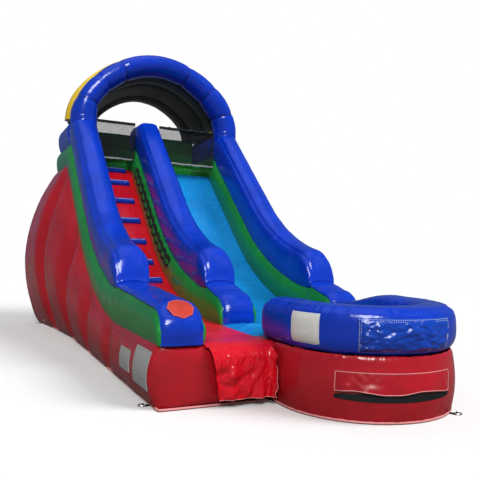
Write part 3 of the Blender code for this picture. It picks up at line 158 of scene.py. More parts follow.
MAT_FALL = 0.02                                 # the mat's drop towards its flap
MAT_FALL_RUN = 0.09
SENSOR_WIDTH = 36.0                             # of the camera, in millimetres
PHOTO_WIDTH, PHOTO_FOCAL = 480.0, 579.47        # of the photograph, in pixels


def length_property(name, description, default, least, most):
    return bpy.props.FloatProperty(name=name, description=description, default=default, min=least, max=most,
                                   unit="LENGTH", subtype="DISTANCE")


class SlideSizes(bpy.types.PropertyGroup):
    """Sizes of the surface detail that a user may change."""

    fold_depth: length_property(
        "Fold depth", "Depth of the short folds that run into each seam", 0.007, 0.0, 0.03)
    fold_pitch: length_property(
        "Fold pitch", "Distance between the short folds along a seam", 0.055, 0.02, 0.3)
    crinkle_depth: length_property(
        "Crinkle depth", "Depth of the fine wrinkles all over the vinyl", 0.004, 0.0, 0.02)
    dart_depth: length_property(
        "Dart depth", "How far the arch draws in at each sewn dart", 0.016, 0.0, 0.05)
    net_pitch: length_property(
        "Net pitch", "Distance between the cords of the safety nets", 0.0105, 0.008, 0.05)
    net_cord: length_property(
        "Net cord", "Thickness of one cord of the safety nets", 0.0042, 0.001, 0.01)
    stitch_pitch: length_property(
        "Stitch pitch", "Distance between two stitches, drawn coarse enough to show", 0.014, 0.004, 0.05)
    stitch_length: length_property(
        "Stitch length", "Length of one visible stitch", 0.009, 0.002, 0.03)


def linear(code):
    """An sRGB hex colour as linear red, green and blue."""
    parts = [int(code[place:place + 2], 16) / 255.0 for place in (1, 3, 5)]
    return tuple(part / 12.92 if part <= 0.04045 else ((part + 0.055) / 1.055) ** 2.4 for part in parts)


def colour_property(name, description, code):
    return bpy.props.FloatVectorProperty(name=name, description=description, subtype="COLOR", size=3,
                                         min=0.0, max=1.0, default=linear(code))


class SlideColours(bpy.types.PropertyGroup):
    """Colours of the vinyl and the straps."""

    base_red: colour_property("Base red", "Dull red of the main body and the pool", "#AE1521")
    lane_red: colour_property("Lane red", "Bright red of the climbing lane and the entrance mat", "#D01020")
    royal_blue: colour_property("Royal blue", "Blue of the tubes, the arch and the pool ring", "#0734B4")
    leaf_green: colour_property("Leaf green", "Green of the walls beside the lanes", "#1C8636")
    lane_blue: colour_property("Lane blue", "Light blue of the sliding lane", "#1584CC")
    sun_yellow: colour_property("Sun yellow", "Yellow of the front roof band", "#E2BE22")
    coral: colour_property("Coral", "Orange red of the round patch on the left nose", "#BC3828")
    label_white: colour_property("Label white", "Pale grey of the bare labels and the sign", "#DADAD6")
    strap_black: colour_property("Strap black", "Black of the webbing, the nets and the hose", "#0E0F11")
    welt_pink: colour_property("Welt pink", "Pale pink of the ground welt and of worn edges", "#D98C8C")


def sizes():
    return bpy.context.scene.slide_sizes


def colours():
    return bpy.context.scene.slide_colours


# Materials

def fill(node, values):
    """Fills or links a node's inputs by name or number; a node stands for its first output."""
    for key, value in dict(values).items():
        if isinstance(value, bpy.types.Node):
            value = value.outputs[0]
        if isinstance(value, bpy.types.NodeSocket):
            node.id_data.links.new(value, node.inputs[key])
        else:
            node.inputs[key].default_value = value


def add(tree, kind, values=(), **settings):
    """Adds a node, sets its settings and fills its inputs."""
    made = tree.nodes.new(kind)
    for name, value in settings.items():
        setattr(made, name, value)
    fill(made, values)
    return made


def start_material(name, slot):
    """A new material for a slot of the record, with its tree, its shader and its coordinates."""
    made = bpy.data.materials.new(name)
    made["slot"] = slot
    made.use_nodes = True
    tree = made.node_tree
    return made, tree, tree.nodes["Principled BSDF"], add(tree, "ShaderNodeTexCoord").outputs


def tinted(colour, factor):
    return (*(min(part * factor, 1.0) for part in colour), 1.0)


def coated_fabric(name, slot, colour, gloss=0.3, crinkle=1.0, crumple=0.0, dust_and_ground_shade=0.0):
    """PVC-coated polyester tarpaulin, calendered smooth and heat welded.

    It gives a soft plastic gloss with long highlights, short folds at every seam, fine crinkles
    and a faint grain of the cloth under the coating; crumple adds the sharp creases of a loose sheet.
    """
    made, tree, shader, place = start_material(name, slot)
    chart = place["UV"]
    # Folds across a seam are 5 to 6 cm apart and several times as long
    along = add(tree, "ShaderNodeMapping", {"Vector": chart, "Scale": (19.0, 2.6, 1.0)})
    fold = add(tree, "ShaderNodeTexNoise", {"Vector": along, "Scale": 1.0, "Detail": 1.5, "Roughness": 0.4,
                                            "Distortion": 0.2})
    seam = add(tree, "ShaderNodeAttribute", attribute_name="pucker")
    held = add(tree, "ShaderNodeMath", {0: fold, 1: seam.outputs["Fac"]}, operation="MULTIPLY")
    # Crinkles left from being rolled up, 10 to 25 cm apart
    fine = add(tree, "ShaderNodeTexNoise", {"Vector": chart, "Scale": 5.0, "Detail": 2.0, "Roughness": 0.45,
                                            "Distortion": 0.7})
    wide = add(tree, "ShaderNodeTexNoise", {"Vector": chart, "Scale": 2.0, "Detail": 2.0})
    # Threads under the coating lie 1 mm apart; drawn at 4 mm, because 1 mm is too fine to show
    weft, warp = (add(tree, "ShaderNodeTexWave", {"Vector": chart, "Scale": 40.0}, bands_direction=way)
                  for way in "XY")
    cloth = add(tree, "ShaderNodeMath", {0: weft.outputs["Fac"], 1: warp.outputs["Fac"]},
                operation="MULTIPLY")
    layers = [(held, 0.8, 0.014), (fine, 0.4 * crinkle, 0.012)]
    if crumple:
        # A loose sheet breaks into sharp creases a hand's breadth apart
        drawn = add(tree, "ShaderNodeMapping", {"Vector": chart, "Scale": (0.5, 1.0, 1.0)})
        crease = add(tree, "ShaderNodeTexNoise", {"Vector": drawn, "Scale": 8.0, "Detail": 4.0,
                                                  "Distortion": 0.7}, noise_type="RIDGED_MULTIFRACTAL")
        layers.append((crease, crumple, 0.012))
    below = {}
    for height, strength, distance in layers + [(cloth, 0.08, 0.0004)]:
        relief = add(tree, "ShaderNodeBump", {"Height": height, "Strength": strength,
                                              "Distance": distance, **below})
        below = {"Normal": relief}
    blotch = add(tree, "ShaderNodeMapRange", {"Value": wide, "From Min": 0.35, "From Max": 0.65})
    shade = add(tree, "ShaderNodeMix", {"Factor": blotch, 6: tinted(colour, 0.88), 7: tinted(colour, 1.08)},
                data_type="RGBA")
    if dust_and_ground_shade:
        # Grass dust and scuffs, together with painted shade of the ground, darken the lowest half metre
        where = add(tree, "ShaderNodeSeparateXYZ", {0: place["Object"]})
        height = add(tree, "ShaderNodeMapRange", {"Value": where.outputs["Z"], "From Min": 0.0,
                                                  "From Max": 0.5, "To Min": dust_and_ground_shade, "To Max": 0.0})
        patchy = add(tree, "ShaderNodeMath", {0: height, 1: fine}, operation="MULTIPLY")
        shade = add(tree, "ShaderNodeMix", {"Factor": patchy, 6: shade.outputs[2], 7: tinted(colour, 0.25)},
                    data_type="RGBA")
    rough = add(tree, "ShaderNodeMapRange", {"Value": fine, "From Min": 0.3, "From Max": 0.7,
                                             "To Min": gloss - 0.05, "To Max": gloss + 0.08})
    fill(shader, {"Base Color": shade.outputs[2], "Roughness": rough, "Normal": relief, "IOR": 1.53})
    return made


# Name of the real material and how it was made, or of the painted light, slot, colour or name of its
# property, and looks
FINISHES = {
    # The red body is darkened towards the ground, partly as dust and partly as painted ground shade
    "red": ("calendered_pvc_tarpaulin_red", "red_vinyl", "base_red",
            {"gloss": 0.22, "crinkle": 0.6, "dust_and_ground_shade": 0.5}),
    "lane": ("calendered_pvc_tarpaulin_bright_red", "bright_red_vinyl", "lane_red",
             {"gloss": 0.24, "crumple": 0.25}),
    "mat": ("calendered_pvc_mat_bright_red", "bright_red_vinyl", "lane_red", {"gloss": 0.36, "crumple": 0.3}),
    "loose": ("loose_pvc_sheet_bright_red", "bright_red_vinyl", "lane_red", {"gloss": 0.15, "crumple": 2.2}),
    "blue": ("calendered_pvc_tarpaulin_blue", "blue_vinyl", "royal_blue", {"gloss": 0.2, "crinkle": 0.8}),
    "green": ("calendered_pvc_tarpaulin_green", "green_vinyl", "leaf_green",
              {"gloss": 0.22, "crinkle": 0.35}),
    "light_blue": ("calendered_pvc_tarpaulin_light_blue", "light_blue_vinyl", "lane_blue",
                   {"gloss": 0.22, "crumple": 0.4}),
    "yellow": ("calendered_pvc_tarpaulin_yellow", "yellow_vinyl", "sun_yellow", {}),
    # A dark olive that paints the shade on the underside of the roof bands
    "lining": ("coated_polyester_lining_olive", "yellow_vinyl", "#454A3C", {"gloss": 0.45}),
    "pocket": ("coated_nylon_pocket_cloth_blue", "blue_vinyl", "#0E3EAC", {"gloss": 0.22, "crumple": 0.8}),
    "label": ("cast_pvc_label_film_white", "pale_vinyl", "label_white", {"gloss": 0.38, "crinkle": 0.4}),
    "grey_label": ("cast_pvc_label_film_grey", "pale_vinyl", "#A9A9A6", {"gloss": 0.42, "crinkle": 0.4}),
    "coral": ("cast_pvc_label_film_coral", "coral_vinyl", "coral", {"gloss": 0.36, "crinkle": 0.4}),
    "welt": ("welded_pvc_welt_pink", "red_vinyl", "welt_pink", {"gloss": 0.4, "crinkle": 0.6}),
    # A pale blue that paints the highlight along each rung's crest
    "rung_welt": ("welded_pvc_welt_pale_blue", "blue_vinyl", "#7F98D6", {"gloss": 0.35, "crinkle": 0.5}),
    "seam": ("welded_seam_tape_navy", "blue_vinyl", "#081552", {"gloss": 0.4, "crinkle": 0.3}),
    "hem": ("woven_hem_tape_grey", "black_webbing", "#8B8D92", {"gloss": 0.5}),
}


@cache
def vinyl(finish):
    name, slot, colour, looks = FINISHES[finish]
    tone = linear(colour) if colour.startswith("#") else getattr(colours(), colour)
    return coated_fabric(name, slot, tone, **looks)


def mottled(name, slot, colour, tints, spots, dull=(), bump=(), space="Object", ribs=(), **sockets):
    """A worn surface: one noise mottles its colour between two tints, dulls it and raises it.

    Where ribs are given, they raise it instead of the noise.
    """
    made, tree, shader, place = start_material(name, slot)
    worn = add(tree, "ShaderNodeTexNoise", {"Vector": place[space], **spots})
    dark, pale = (tinted(colour, tint) for tint in tints)
    shade = add(tree, "ShaderNodeMix", {"Factor": worn, 6: dark, 7: pale}, data_type="RGBA")
    fill(shader, {"Base Color": shade.outputs[2], **sockets})
    if dull:
        fill(shader, {"Roughness": add(tree, "ShaderNodeMapRange", {"Value": worn, "To Min": dull[0],
                                                                    "To Max": dull[1]})})
    if bump:
        height = worn.outputs[0]
        if ribs:
            height = add(tree, "ShaderNodeTexWave", {"Vector": place[space], **ribs},
                         bands_direction="DIAGONAL").outputs["Fac"]
        fill(shader, {"Normal": add(tree, "ShaderNodeBump", {"Height": height, "Strength": bump[0],
                                                             "Distance": bump[1]})})
    return made


@cache
def woven_strap(name="woven_polyester_webbing_black", factor=1.0):
    """Polyester webbing, woven flat in a herringbone: a dull, slightly fuzzy black with fine ribs across it.

    Ribs lie 1.4 mm apart on the real strap; drawn at 4 mm, because finer ribs don't show.
    """
    return mottled(name, "black_webbing", colours().strap_black, (0.7 * factor, 1.6 * factor),
                   {"Scale": 14.0, "Detail": 4.0}, (0.6, 0.85), (0.5, 0.001),
                   ribs={"Scale": 40.0, "Distortion": 0.8, "Detail": 1.0}, IOR=1.5)


def net_cord():
    """Knotted net cord, twisted of polyester: thin matt cords with a light fuzz, a dark veil from afar."""
    return woven_strap("twisted_polyester_net_black", 1.2)


def hose_rubber():
    """Lay-flat irrigation hose, extruded PVC on a fibre core: a wet black sheen broken by kinks."""
    return mottled("extruded_lay_flat_hose_black", "black_hose", colours().strap_black, (0.6, 2.2),
                   {"Scale": 38.0, "Detail": 4.0, "Distortion": 1.2}, (0.25, 0.5), (0.8, 0.006), "UV",
                   IOR=1.53)


@cache
def metal(name, slot, code, roughness, grain):
    """A plated, cast or turned metal part, worn by handling: a bright highlight with scratches and pits."""
    return mottled(name, slot, linear(code), (0.75, 1.15), {"Scale": grain, "Detail": 5.0, "Roughness": 0.6},
                   (roughness - 0.08, roughness + 0.15), (0.3, 0.0004), Metallic=1.0)


@cache
def spun_thread(name="spun_polyester_thread_grey", code="#8A8F98"):
    """Bonded polyester sewing thread, twisted of fine yarn: short satin dashes that stand on the cloth."""
    return mottled(name, "pale_vinyl", linear(code), (0.8, 1.1), {"Scale": 160.0, "Detail": 3.0},
                   Roughness=0.55)


def pale_thread():
    return spun_thread("spun_polyester_thread_pale", "#C9D2E4")


# Numbers and lines

def clamp(value, lowest=0.0, highest=1.0):
    return min(max(value, lowest), highest)


def smooth(value):
    kept = clamp(value)
    return kept * kept * (3.0 - 2.0 * kept)


def bell(gap, reach):
    """1 where the gap is nothing, and close to 0 from twice its reach on."""
    return exp(-(gap / reach) ** 2)


def rounded(share):
    """Size of a round end, from 0 at its tip to 1 where it is full."""
    return sqrt(clamp(1.0 - (1.0 - clamp(share)) ** 2))


def between(a, b, share):
    return a + (b - a) * share


def spaced(first, last, step):
    count = max(int(ceil(abs(last - first) / step)), 1)
    return [between(first, last, index / count) for index in range(count + 1)]


def circle(count):
    return [2 * pi * step / count for step in range(count)]


def middle_of(points):
    return sum(points, Vector()) / len(points)


def run(points):
    """Distance of each point of a line from its first one."""
    far = [0.0]
    for before, after in zip(points, points[1:]):
        far.append(far[-1] + (after - before).length)
    return far


def mean_run(rows):
    """Distance of each row from the first one, as a mean over its points."""
    far = [0.0]
    for before, after in zip(rows, rows[1:]):
        far.append(far[-1] + sum((b - a).length for a, b in zip(before, after)) / len(before))
    return far


def ripple(x, y, z):
    return noise.noise(Vector((x, y, z)))


def creased(u, v, seed):
    """Height from 0 to about 1 of a loose sheet, smooth between sharp creases."""
    return 1.3 * abs(ripple(u, v, seed)) + 0.6 * abs(ripple(u * 2.7 + v, v * 2.3 - u, seed + 3.0))


# Meshes

def link_piece(name, mesh, material):
    """Puts a mesh in the scene in a material or a vinyl finish."""
    item = bpy.data.objects.new(name, mesh)
    bpy.context.scene.collection.objects.link(item)
    mesh.materials.clear()
    mesh.materials.append(vinyl(material) if isinstance(material, str) else material)
    return item


def rides(item, body, node=None):
    """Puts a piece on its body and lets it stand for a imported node."""
    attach(item, body)
    if node:
        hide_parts(node)
    return item


def skin(name, rows, material, node=None, body="slide", loop=False, pucker=None, seed=0.0, relief=1.0,
         sharp=50.0, calm=None, flat=0):
    """A closed skin over rows of points, with a UV map in metres and folds at its seams.

    It rides on its body and stands for a node. loop joins the last row to the first, pucker gives the
    strength of the folds from the distances along and across, calm gives a share of the relief at a
    point, and the first rows, as many as flat says, are mapped as one flat panel.
    """
    across = run(max(([*row, row[0]] for row in rows), key=lambda row: run(row[:-1])[-1]))
    along = mean_run([*rows, rows[0]] if loop else rows)
    work = bmesh.new()
    layer = work.loops.layers.uv.new("UVMap")
    held = work.verts.layers.float.new("pucker")
    grid = [[work.verts.new(point) for point in row] for row in rows]
    for u, line in zip(along, grid):
        for v, vert in zip(across, line):
            vert[held] = pucker(u, v, across[-1]) if pucker else 0.0
    for index in range(len(along) - 1):
        for column in range(len(rows[0])):
            corners = ((index, column), (index, column + 1), (index + 1, column + 1), (index + 1, column))
            face = work.faces.new([grid[u % len(grid)][v % len(rows[0])] for u, v in corners])
            for corner, (u, v) in zip(face.loops, corners):
                co = corner.vert.co
                corner[layer].uv = (co.x, co.z) if index < flat else (along[u], across[v])
    if not loop:
        for end in (0, -1):
            for corner in work.faces.new(grid[end]).loops:
                co = corner.vert.co
                corner[layer].uv = (along[end] + co.y + co.z, co.x + co.z)
    bmesh.ops.recalc_face_normals(work, faces=work.faces)
    if relief:
        work.normal_update()
        fold, pitch, dent = sizes().fold_depth, sizes().fold_pitch, sizes().crinkle_depth
        for u, line in zip(along, grid):
            for v, vert in zip(across, line):
                co = vert.co
                rise = vert[held] * fold * ripple(u / pitch, v * 2.2 + seed, seed * 3.1)
                rise += dent * ripple(co.x * 4.0 + seed, co.y * 4.0, co.z * 4.0)
                vert.co += vert.normal * rise * relief * (calm(co) if calm else 1.0)
    mesh = bpy.data.meshes.new(name)
    work.to_mesh(mesh)
    work.free()
    mesh.shade_smooth()
    mesh.set_sharp_from_angle(angle=radians(sharp))
    item = link_piece(name, mesh, material)
    return rides(item, body, node) if body else item


def thin_sheet(name, rows, material, node=None, thick=SKIN, down=(0.0, 0.0, -1.0), pucker=None, **looks):
    """A sheet of vinyl over rows of points, thickened along one direction."""
    def half(along, across, total):
        side = total / 2.0
        return pucker(along, across if across < side else total - across, side)

    doubled = [row + [point + Vector(down) * thick for point in reversed(row)] for row in rows]
    return skin(name, doubled, material, node, pucker=pucker and half, sharp=60.0, **looks)


def cut_sheet(item, rows, held, *rests_on):
    """Measures the size that a piece was cut to, along its rows, and keeps nothing of it."""
    for near, far in zip(rows, rows[1:]):
        for a, b, c, d in zip(near, near[1:], far[1:], far):
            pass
    wide, tall = (max(run(line)[-1] for line in lines) for lines in (rows, zip(*rows)))


def beading(name, line, radius, out, body="slide", closed=False, finish="welt"):
    """A round edge along a line of points; out gives the outward direction at a point."""
    rows = []
    last = len(line) - 1
    for index, point in enumerate(line):
        after = line[(index + 1) % len(line)] if closed else line[min(index + 1, last)]
        before = line[index - 1] if closed or index else point
        ahead = (after - before).normalized()
        side = ahead.cross(out(point)).normalized()
        up = side.cross(ahead)
        rows.append([point + side * (radius * cos(turn)) + up * (radius * sin(turn)) for turn in circle(8)])
    return skin(name, rows, finish, body=body, loop=closed, relief=0.0)


def build_welt(name, line):
    """A pale welt that is welded along the foot of a member."""
    raised = [point + Vector((0.0, 0.0, 0.0112)) for point in line]
    beading(name, raised, 0.011, lambda point: Vector((0.0, 0.0, 1.0)))


def flatten_foot(item):
    """Keeps a piece that stands on the ground above it."""
    for vert in item.data.vertices:
        vert.co.z = max(vert.co.z, 0.0005)


def paint(node, material):
    """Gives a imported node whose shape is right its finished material."""
    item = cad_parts[node]
    item.data.materials.clear()
    item.data.materials.append(material)
    for face in item.data.polygons:
        face.material_index = 0


# Lines of the lanes

def above_lane(y, height):
    """Height of a line drawn square above the lanes, at a distance y."""
    if y <= CURVE_FOOT:
        return LANDING_TOP + height
    reach = RAMP_RADIUS - height
    if y < CURVE_FOOT + reach * RAMP_SIN:
        return LANDING_TOP + RAMP_RADIUS - sqrt(reach ** 2 - (y - CURVE_FOOT) ** 2)
    return min(ARC_TOP + (y - SLOPE_FOOT) * RAMP_TAN + height / RAMP_COS, PLATFORM_TOP + height)


def on_lane(x, distance, height):
    """Point at a distance along the lane from the foot of its curve, square above it."""
    if distance <= 0.0:
        return Vector((x, CURVE_FOOT + distance, LANDING_TOP + height))
    turn = min(distance / RAMP_RADIUS, RAMP_ANGLE)
    beyond = max(distance - ARC_LENGTH, 0.0)
    y = CURVE_FOOT + (RAMP_RADIUS - height) * sin(turn) + beyond * RAMP_COS
    return Vector((x, y, LANDING_TOP + RAMP_RADIUS - (RAMP_RADIUS - height) * cos(turn) + beyond * RAMP_SIN))


def mitre_height(y):
    """Height of the joint between a sloping tube and the arch leg above it."""
    front = ARCH_CENTRE - ARCH_DEPTH / 2
    corner = ARC_TOP + TUBE_CREST / RAMP_COS + (front - SLOPE_FOOT) * RAMP_TAN
    return corner - (y - front) * RAMP_COS / (1.0 + RAMP_SIN)


def mitre_distance(height):
    """Distance along the lane at which a line square above it meets the arch joint."""
    spot = on_lane(0.0, ARC_LENGTH, height)
    return ARC_LENGTH + (mitre_height(spot.y) - spot.z) / (RAMP_TAN + RAMP_COS / (1.0 + RAMP_SIN)) / RAMP_COS


def nose_front(side):
    return low(side + "_nose_ribbon").y


def bulb_front(z):
    """Front of a tube's bulb at a height, where the nose ends."""
    lean = tan(asin((TUBE_NOSE - CURVE_FOOT) / RAMP_RADIUS) + 0.03)
    return TUBE_NOSE - (z - above_lane(TUBE_NOSE, 0.0)) * lean


NOSE_REAR = bulb_front(NOSE_CREASE)


def wall_top(side, y):
    """Height of the green wall's top, under its ribbon or its tube."""
    if y >= NOSE_REAR:
        return above_lane(y, LOW_WALL)
    ahead = y - nose_front(side) - NOSE_ROUND
    if ahead < 0.0:
        ribbon = NOSE_TOP - NOSE_ROUND + sqrt(max(NOSE_ROUND ** 2 - ahead ** 2, 0.0))
    else:
        ribbon = between(NOSE_TOP, NOSE_CREASE, clamp(ahead / (NOSE_REAR - nose_front(side) - NOSE_ROUND)))
    return ribbon - RIBBON - RAISED


# Main body

@cache
def baffle_lines():
    lines = [BODY_REAR - BAFFLE_SPACING]
    while lines[-1] - BAFFLE_SPACING > CURVE_FOOT:
        lines.append(lines[-1] - BAFFLE_SPACING)
    return lines


def baffle_pull(y):
    """How far the tall baffles hold the sides in, from 0 at a valley's side to 1 in its middle."""
    return max(bell(y - line, VALLEY_WIDTH) for line in baffle_lines())


def side_reach(y, top, share):
    """How far the body's side lies beyond its top edge at a share of the height."""
    pull = 1.0 - VALLEY_DEPTH_SHARE * baffle_pull(y)
    crease = max(exp(-(abs(y - line) / 0.085) ** 1.3) for line in baffle_lines())
    bulge = top * (BULGE_PER_HEIGHT * pull - 0.058 * crease) * sin(pi * clamp(share)) ** 0.8
    grown = clamp((y - BODY_REAR + FLARE_REACH) / FLARE_REACH)
    return bulge + REAR_FLARE * grown ** 1.3 * (1.0 - share)


def body_section(y, top, inset=0.0, base=0.0):
    """One upright section of the body, round from the right foot over the top to the left foot."""
    half = []
    for step in range(23):
        share = 0.5 - 0.5 * cos(pi * step / 22)
        half.append((HALF_WIDTH + side_reach(y, top, share) - inset, base + (top - base) * share))
    ring = half + [(half[-1][0] * (1.0 - step / 4), half[-1][1]) for step in range(1, 8)]
    ring += [(-x, z) for x, z in reversed(half)]
    ring += [(-half[0][0] * (1.0 - step / 3), base) for step in range(1, 6)]
    return [Vector((x, y, z)) for x, z in ring]


def build_body():
    """The red main body: a pillowed front, sides that the baffles hold in, and a pillowed rear."""
    rows = []
    for turn in range(0, 90, 9):
        inset = 0.42 * (1.0 - sin(radians(turn))) ** 1.2
        y = BODY_FRONT + 0.12 * (1.0 - cos(radians(turn)))
        rows.append(body_section(y, above_lane(y, -SKIN - RAISED) - inset * 0.42, inset, inset * 0.2))
    middle = middle_of(rows[0])
    rows = [[point.lerp(middle, share) for point in rows[0]]
            for share in (0.9, 0.75, 0.55, 0.35, 0.2, 0.1, 0.04)] + rows
    rows += [body_section(y, above_lane(y, -SKIN - RAISED))
             for y in spaced(BODY_FRONT + 0.124, BODY_REAR - 0.02, 0.032)]
    for step in range(7):
        turn = pi / 2 * step / 7
        inset = REAR_PILLOW_EDGE * (1.0 - cos(turn)) * 0.9
        top = PLATFORM_TOP - SKIN - RAISED - inset
        rows.append(body_section(BODY_REAR + REAR_PILLOW * sin(turn) * 0.97, top, inset, inset * 0.25))
    rows.append(body_section(BODY_REAR + REAR_PILLOW, PLATFORM_TOP - REAR_PILLOW_EDGE,
                             REAR_PILLOW_EDGE, 0.09))
    middle = middle_of(rows[-1])
    rows.append([point.lerp(middle, 0.5) for point in rows[-1]])

    def pucker(along, across, total):
        valley = 0.7 * baffle_pull(BODY_FRONT + along - 0.9)
        near_foot = bell(min(across, abs(across - 2.75)), 0.16)
        return min(0.06 + valley + 0.7 * near_foot, 1.2) * smooth((along - 0.95) / 0.3)

    def calm(point):
        """Less relief at the front, where the mat hangs down before it."""
        return between(0.25, 1.0, smooth((point.y - BODY_FRONT - 0.02) / 0.3))

    flatten_foot(skin("slide_body_skin", rows, "red", "slide_body", pucker=pucker, seed=3.0, relief=1.6,
                      calm=calm, flat=14))
    # The welt runs from the pool across the front, down the left side, round the back and up the right side
    line = [Vector((x, BODY_FRONT + 0.012, 0.0))
            for x in spaced(low("pool_base").x - 0.01, 0.02 - HALF_WIDTH, 0.05)]
    line += [Vector((-HALF_WIDTH - side_reach(y, above_lane(y, 0.0), 0.0), y, 0.0))
             for y in spaced(BODY_FRONT + 0.03, BODY_REAR, 0.06)]
    build_welt("body_welt", line + [Vector((-p.x, p.y, 0.0)) for p in reversed(line) if p.x < -1.25])


# Walls beside the lanes

def cheek(share, narrow=0.036):
    """How far a green wall's cheek bulges at a share of its height, less what its top seam draws in."""
    return WALL_BELLY * sin(pi * share) ** 0.7 - narrow * clamp((share - 0.6) / 0.4) ** 2.0


def build_wall(side):
    """A green wall with bulging cheeks, drawn in where its tube or ribbon is sewn on."""
    front = nose_front(side) + RIBBON
    rear = high("divider_low_wall").y if side == "divider" else BODY_REAR
    centre = WALL_CENTRES[side]
    rows = []
    for y in (spaced(front, front + 0.08, 0.012) + spaced(front + 0.1, NOSE_REAR - 0.004, 0.03)
              + spaced(NOSE_REAR + 0.004, rear - 0.03, 0.035) + [rear - 0.012, rear]):
        base, top = above_lane(y, -SKIN), wall_top(side, y)
        narrow = between(0.032, 0.036, smooth((y - NOSE_REAR + 0.03) / 0.06))
        reach = WALL_WIDTH / 2 - 0.03 * (1.0 - rounded(min(y - front, rear - y) / 0.03))
        half = [(reach + cheek(step / 12, narrow), base + (top - base) * step / 12) for step in range(13)]
        ring = half + [(x, top) for x in (0.08, 0.0, -0.08)] + [(-x, z) for x, z in reversed(half)]
        rows.append([Vector((centre + x, y, z)) for x, z in ring])
    seam = max(run(row[:13])[-1] for row in rows)

    def pucker(along, across, total):
        return min(bell(across - seam, 0.055) + bell(across - seam - 0.33, 0.055), 1.0)

    skin(side + "_wall_skin", rows, "green", side + "_low_wall", pucker=pucker, seed=centre + 5.0)


def build_ribbon(side):
    """The blue pillow over the top and down the front of a nose."""
    front, centre = nose_front(side), WALL_CENTRES[side]
    straight = NOSE_TOP - NOSE_ROUND
    top_run = NOSE_REAR - front - NOSE_ROUND
    tilt = atan2(NOSE_CREASE - NOSE_TOP, top_run)
    line = [(front, z, 0.0) for z in spaced(LANDING_TOP - SKIN + 0.001, straight, 0.02)]
    line += [(front + NOSE_ROUND * (1.0 - cos(turn)), straight + NOSE_ROUND * sin(turn), turn)
             for turn in (pi / 2 * step / 16 for step in range(1, 17))]
    line += [(y, between(NOSE_TOP, NOSE_CREASE, (y - front - NOSE_ROUND) / top_run), pi / 2 - tilt)
             for y in spaced(front + NOSE_ROUND, NOSE_REAR, 0.03)[1:]]
    rows = []
    for index, (y, z, lean) in enumerate(line):
        share = index / (len(line) - 1)
        crown = RIBBON_CROWN * smooth(share * 5.0 + 0.15) * (1.0 - 0.55 * smooth((share - 0.86) / 0.14))
        crown -= 0.022 * bell(share - 0.93, 0.03) + 0.012 * bell(share - 0.2, 0.025)
        section = []
        for across in (step / 8 - 1.0 for step in range(17)):
            lift = crown * (1.0 - abs(across) ** 2.3) - 0.02 * abs(across) ** 8
            section.append((RIBBON_HALF * across, lift))
        for across in (1.0 - step / 4 for step in range(9)):
            section.append(((RIBBON_HALF - 0.004) * across, -RIBBON - 0.012 * abs(across) ** 4))
        rows.append([Vector((centre + x, y - cos(lean) * lift, z + sin(lean) * lift)) for x, lift in section])

    def pucker(along, across, total):
        from_edge = min(across, abs(2 * RIBBON_HALF - across))
        return clamp(bell(from_edge, 0.07) + 0.8 * bell(along - NOSE_ROUND * 1.57 - top_run, 0.09))

    skin(side + "_nose_skin", rows, "blue", side + "_nose_ribbon", pucker=pucker, seed=centre * 7.0,
         relief=0.9)


# Tubes and bulbs

def tube_ring(half, bottom, top, power=2.4):
    """Section of a filled tube on a narrow foot, drawn in at its two upper seams, as (x, height) points."""
    ring = []
    for step in range(56):
        turn = radians(-37.0 + 254.0 * step / 55)
        across, lift = cos(turn), sin(turn)
        if lift < 0.0:
            lift /= 0.6
        else:
            size = (abs(across) ** power + lift ** power) ** (-1.0 / power)
            size *= 1.0 - 0.045 * sum(bell(turn - seam, 0.085) for seam in TUBE_SEAMS)
            across, lift = across * size, lift * size
        ring.append((half * across, (bottom + top) / 2 + (top - bottom) / 2 * lift))
    foot = ring[-1][0]
    return ring + [(between(foot, -foot, share), bottom) for share in (0.25, 0.5, 0.75)]


def side_tube_ring(size, half=TUBE_HALF, power=2.4):
    """Section of a level tube beside the platform at a share of its size."""
    middle = (SIDE_TUBE_FOOT + SIDE_TUBE_TOP) / 2
    rise = (SIDE_TUBE_TOP - SIDE_TUBE_FOOT) / 2 * size
    return tube_ring(half * size, middle - rise, middle + rise, power)


def bulb_width(place):
    for (p0, v0), (p1, v1) in zip(BULB_WIDTHS, BULB_WIDTHS[1:]):
        if place <= p1:
            return v0 + (v1 - v0) * smooth((place - p0) / (p1 - p0))
    return BULB_WIDTHS[-1][1]


def bulb_rows(ends, centre, half=TUBE_HALF, power=2.4):
    """Rings of a tube from its bulb up to where each of its lines ends."""
    nose = RAMP_RADIUS * asin((TUBE_NOSE - CURVE_FOOT) / RAMP_RADIUS)
    foot = LOW_WALL + RAISED
    rows = []
    for distance in ([nose + BULB_LENGTH * share for share in (0.0, 0.012, 0.03, 0.06, 0.1, 0.15, 0.21, 0.28)]
                     + spaced(nose + BULB_LENGTH * 0.36, ARC_LENGTH, 0.035)):
        place = (distance - nose) / BULB_LENGTH
        tall = max(sqrt(clamp(1.0 - (1.0 - clamp(place / 0.95)) ** 2.2)), 0.24) * 0.985
        section = tube_ring(TUBE_HALF * bulb_width(place), foot, foot + TUBE_HEIGHT * tall)
        rows.append([on_lane(centre + x, distance, height) for x, height in section])
    last = rows[-1]
    finish = [on_lane(centre + x, ends(height), height)
              for x, height in tube_ring(half, foot, TUBE_CREST, power)]
    steps = spaced(0.0, (middle_of(finish) - middle_of(last)).length, 0.035)
    return rows + [[a.lerp(b, step / steps[-1]) for a, b in zip(last, finish)] for step in steps[1:]]


def tube_skin(name, rows, node, seed):
    """A tube folded along both sides of its foot, at its two upper seams and where it meets its nose."""
    def pucker(along, across, total):
        span = total - 0.33
        held = sum(bell(across - share * span, reach)
                   for share, reach in ((0.0, 0.075), (1.0, 0.075), (0.315, 0.05), (0.685, 0.05)))
        return clamp(held + bell(along, 0.10) + 0.06)

    skin(name, rows, "blue", node, pucker=pucker, seed=seed)


def build_outer_tube(side):
    centre = WALL_CENTRES[side]
    rows = bulb_rows(mitre_distance, centre)
    tube_skin(side + "_tube_skin", rows, side + "_upper_tube", centre * 3.0 + 11.0)


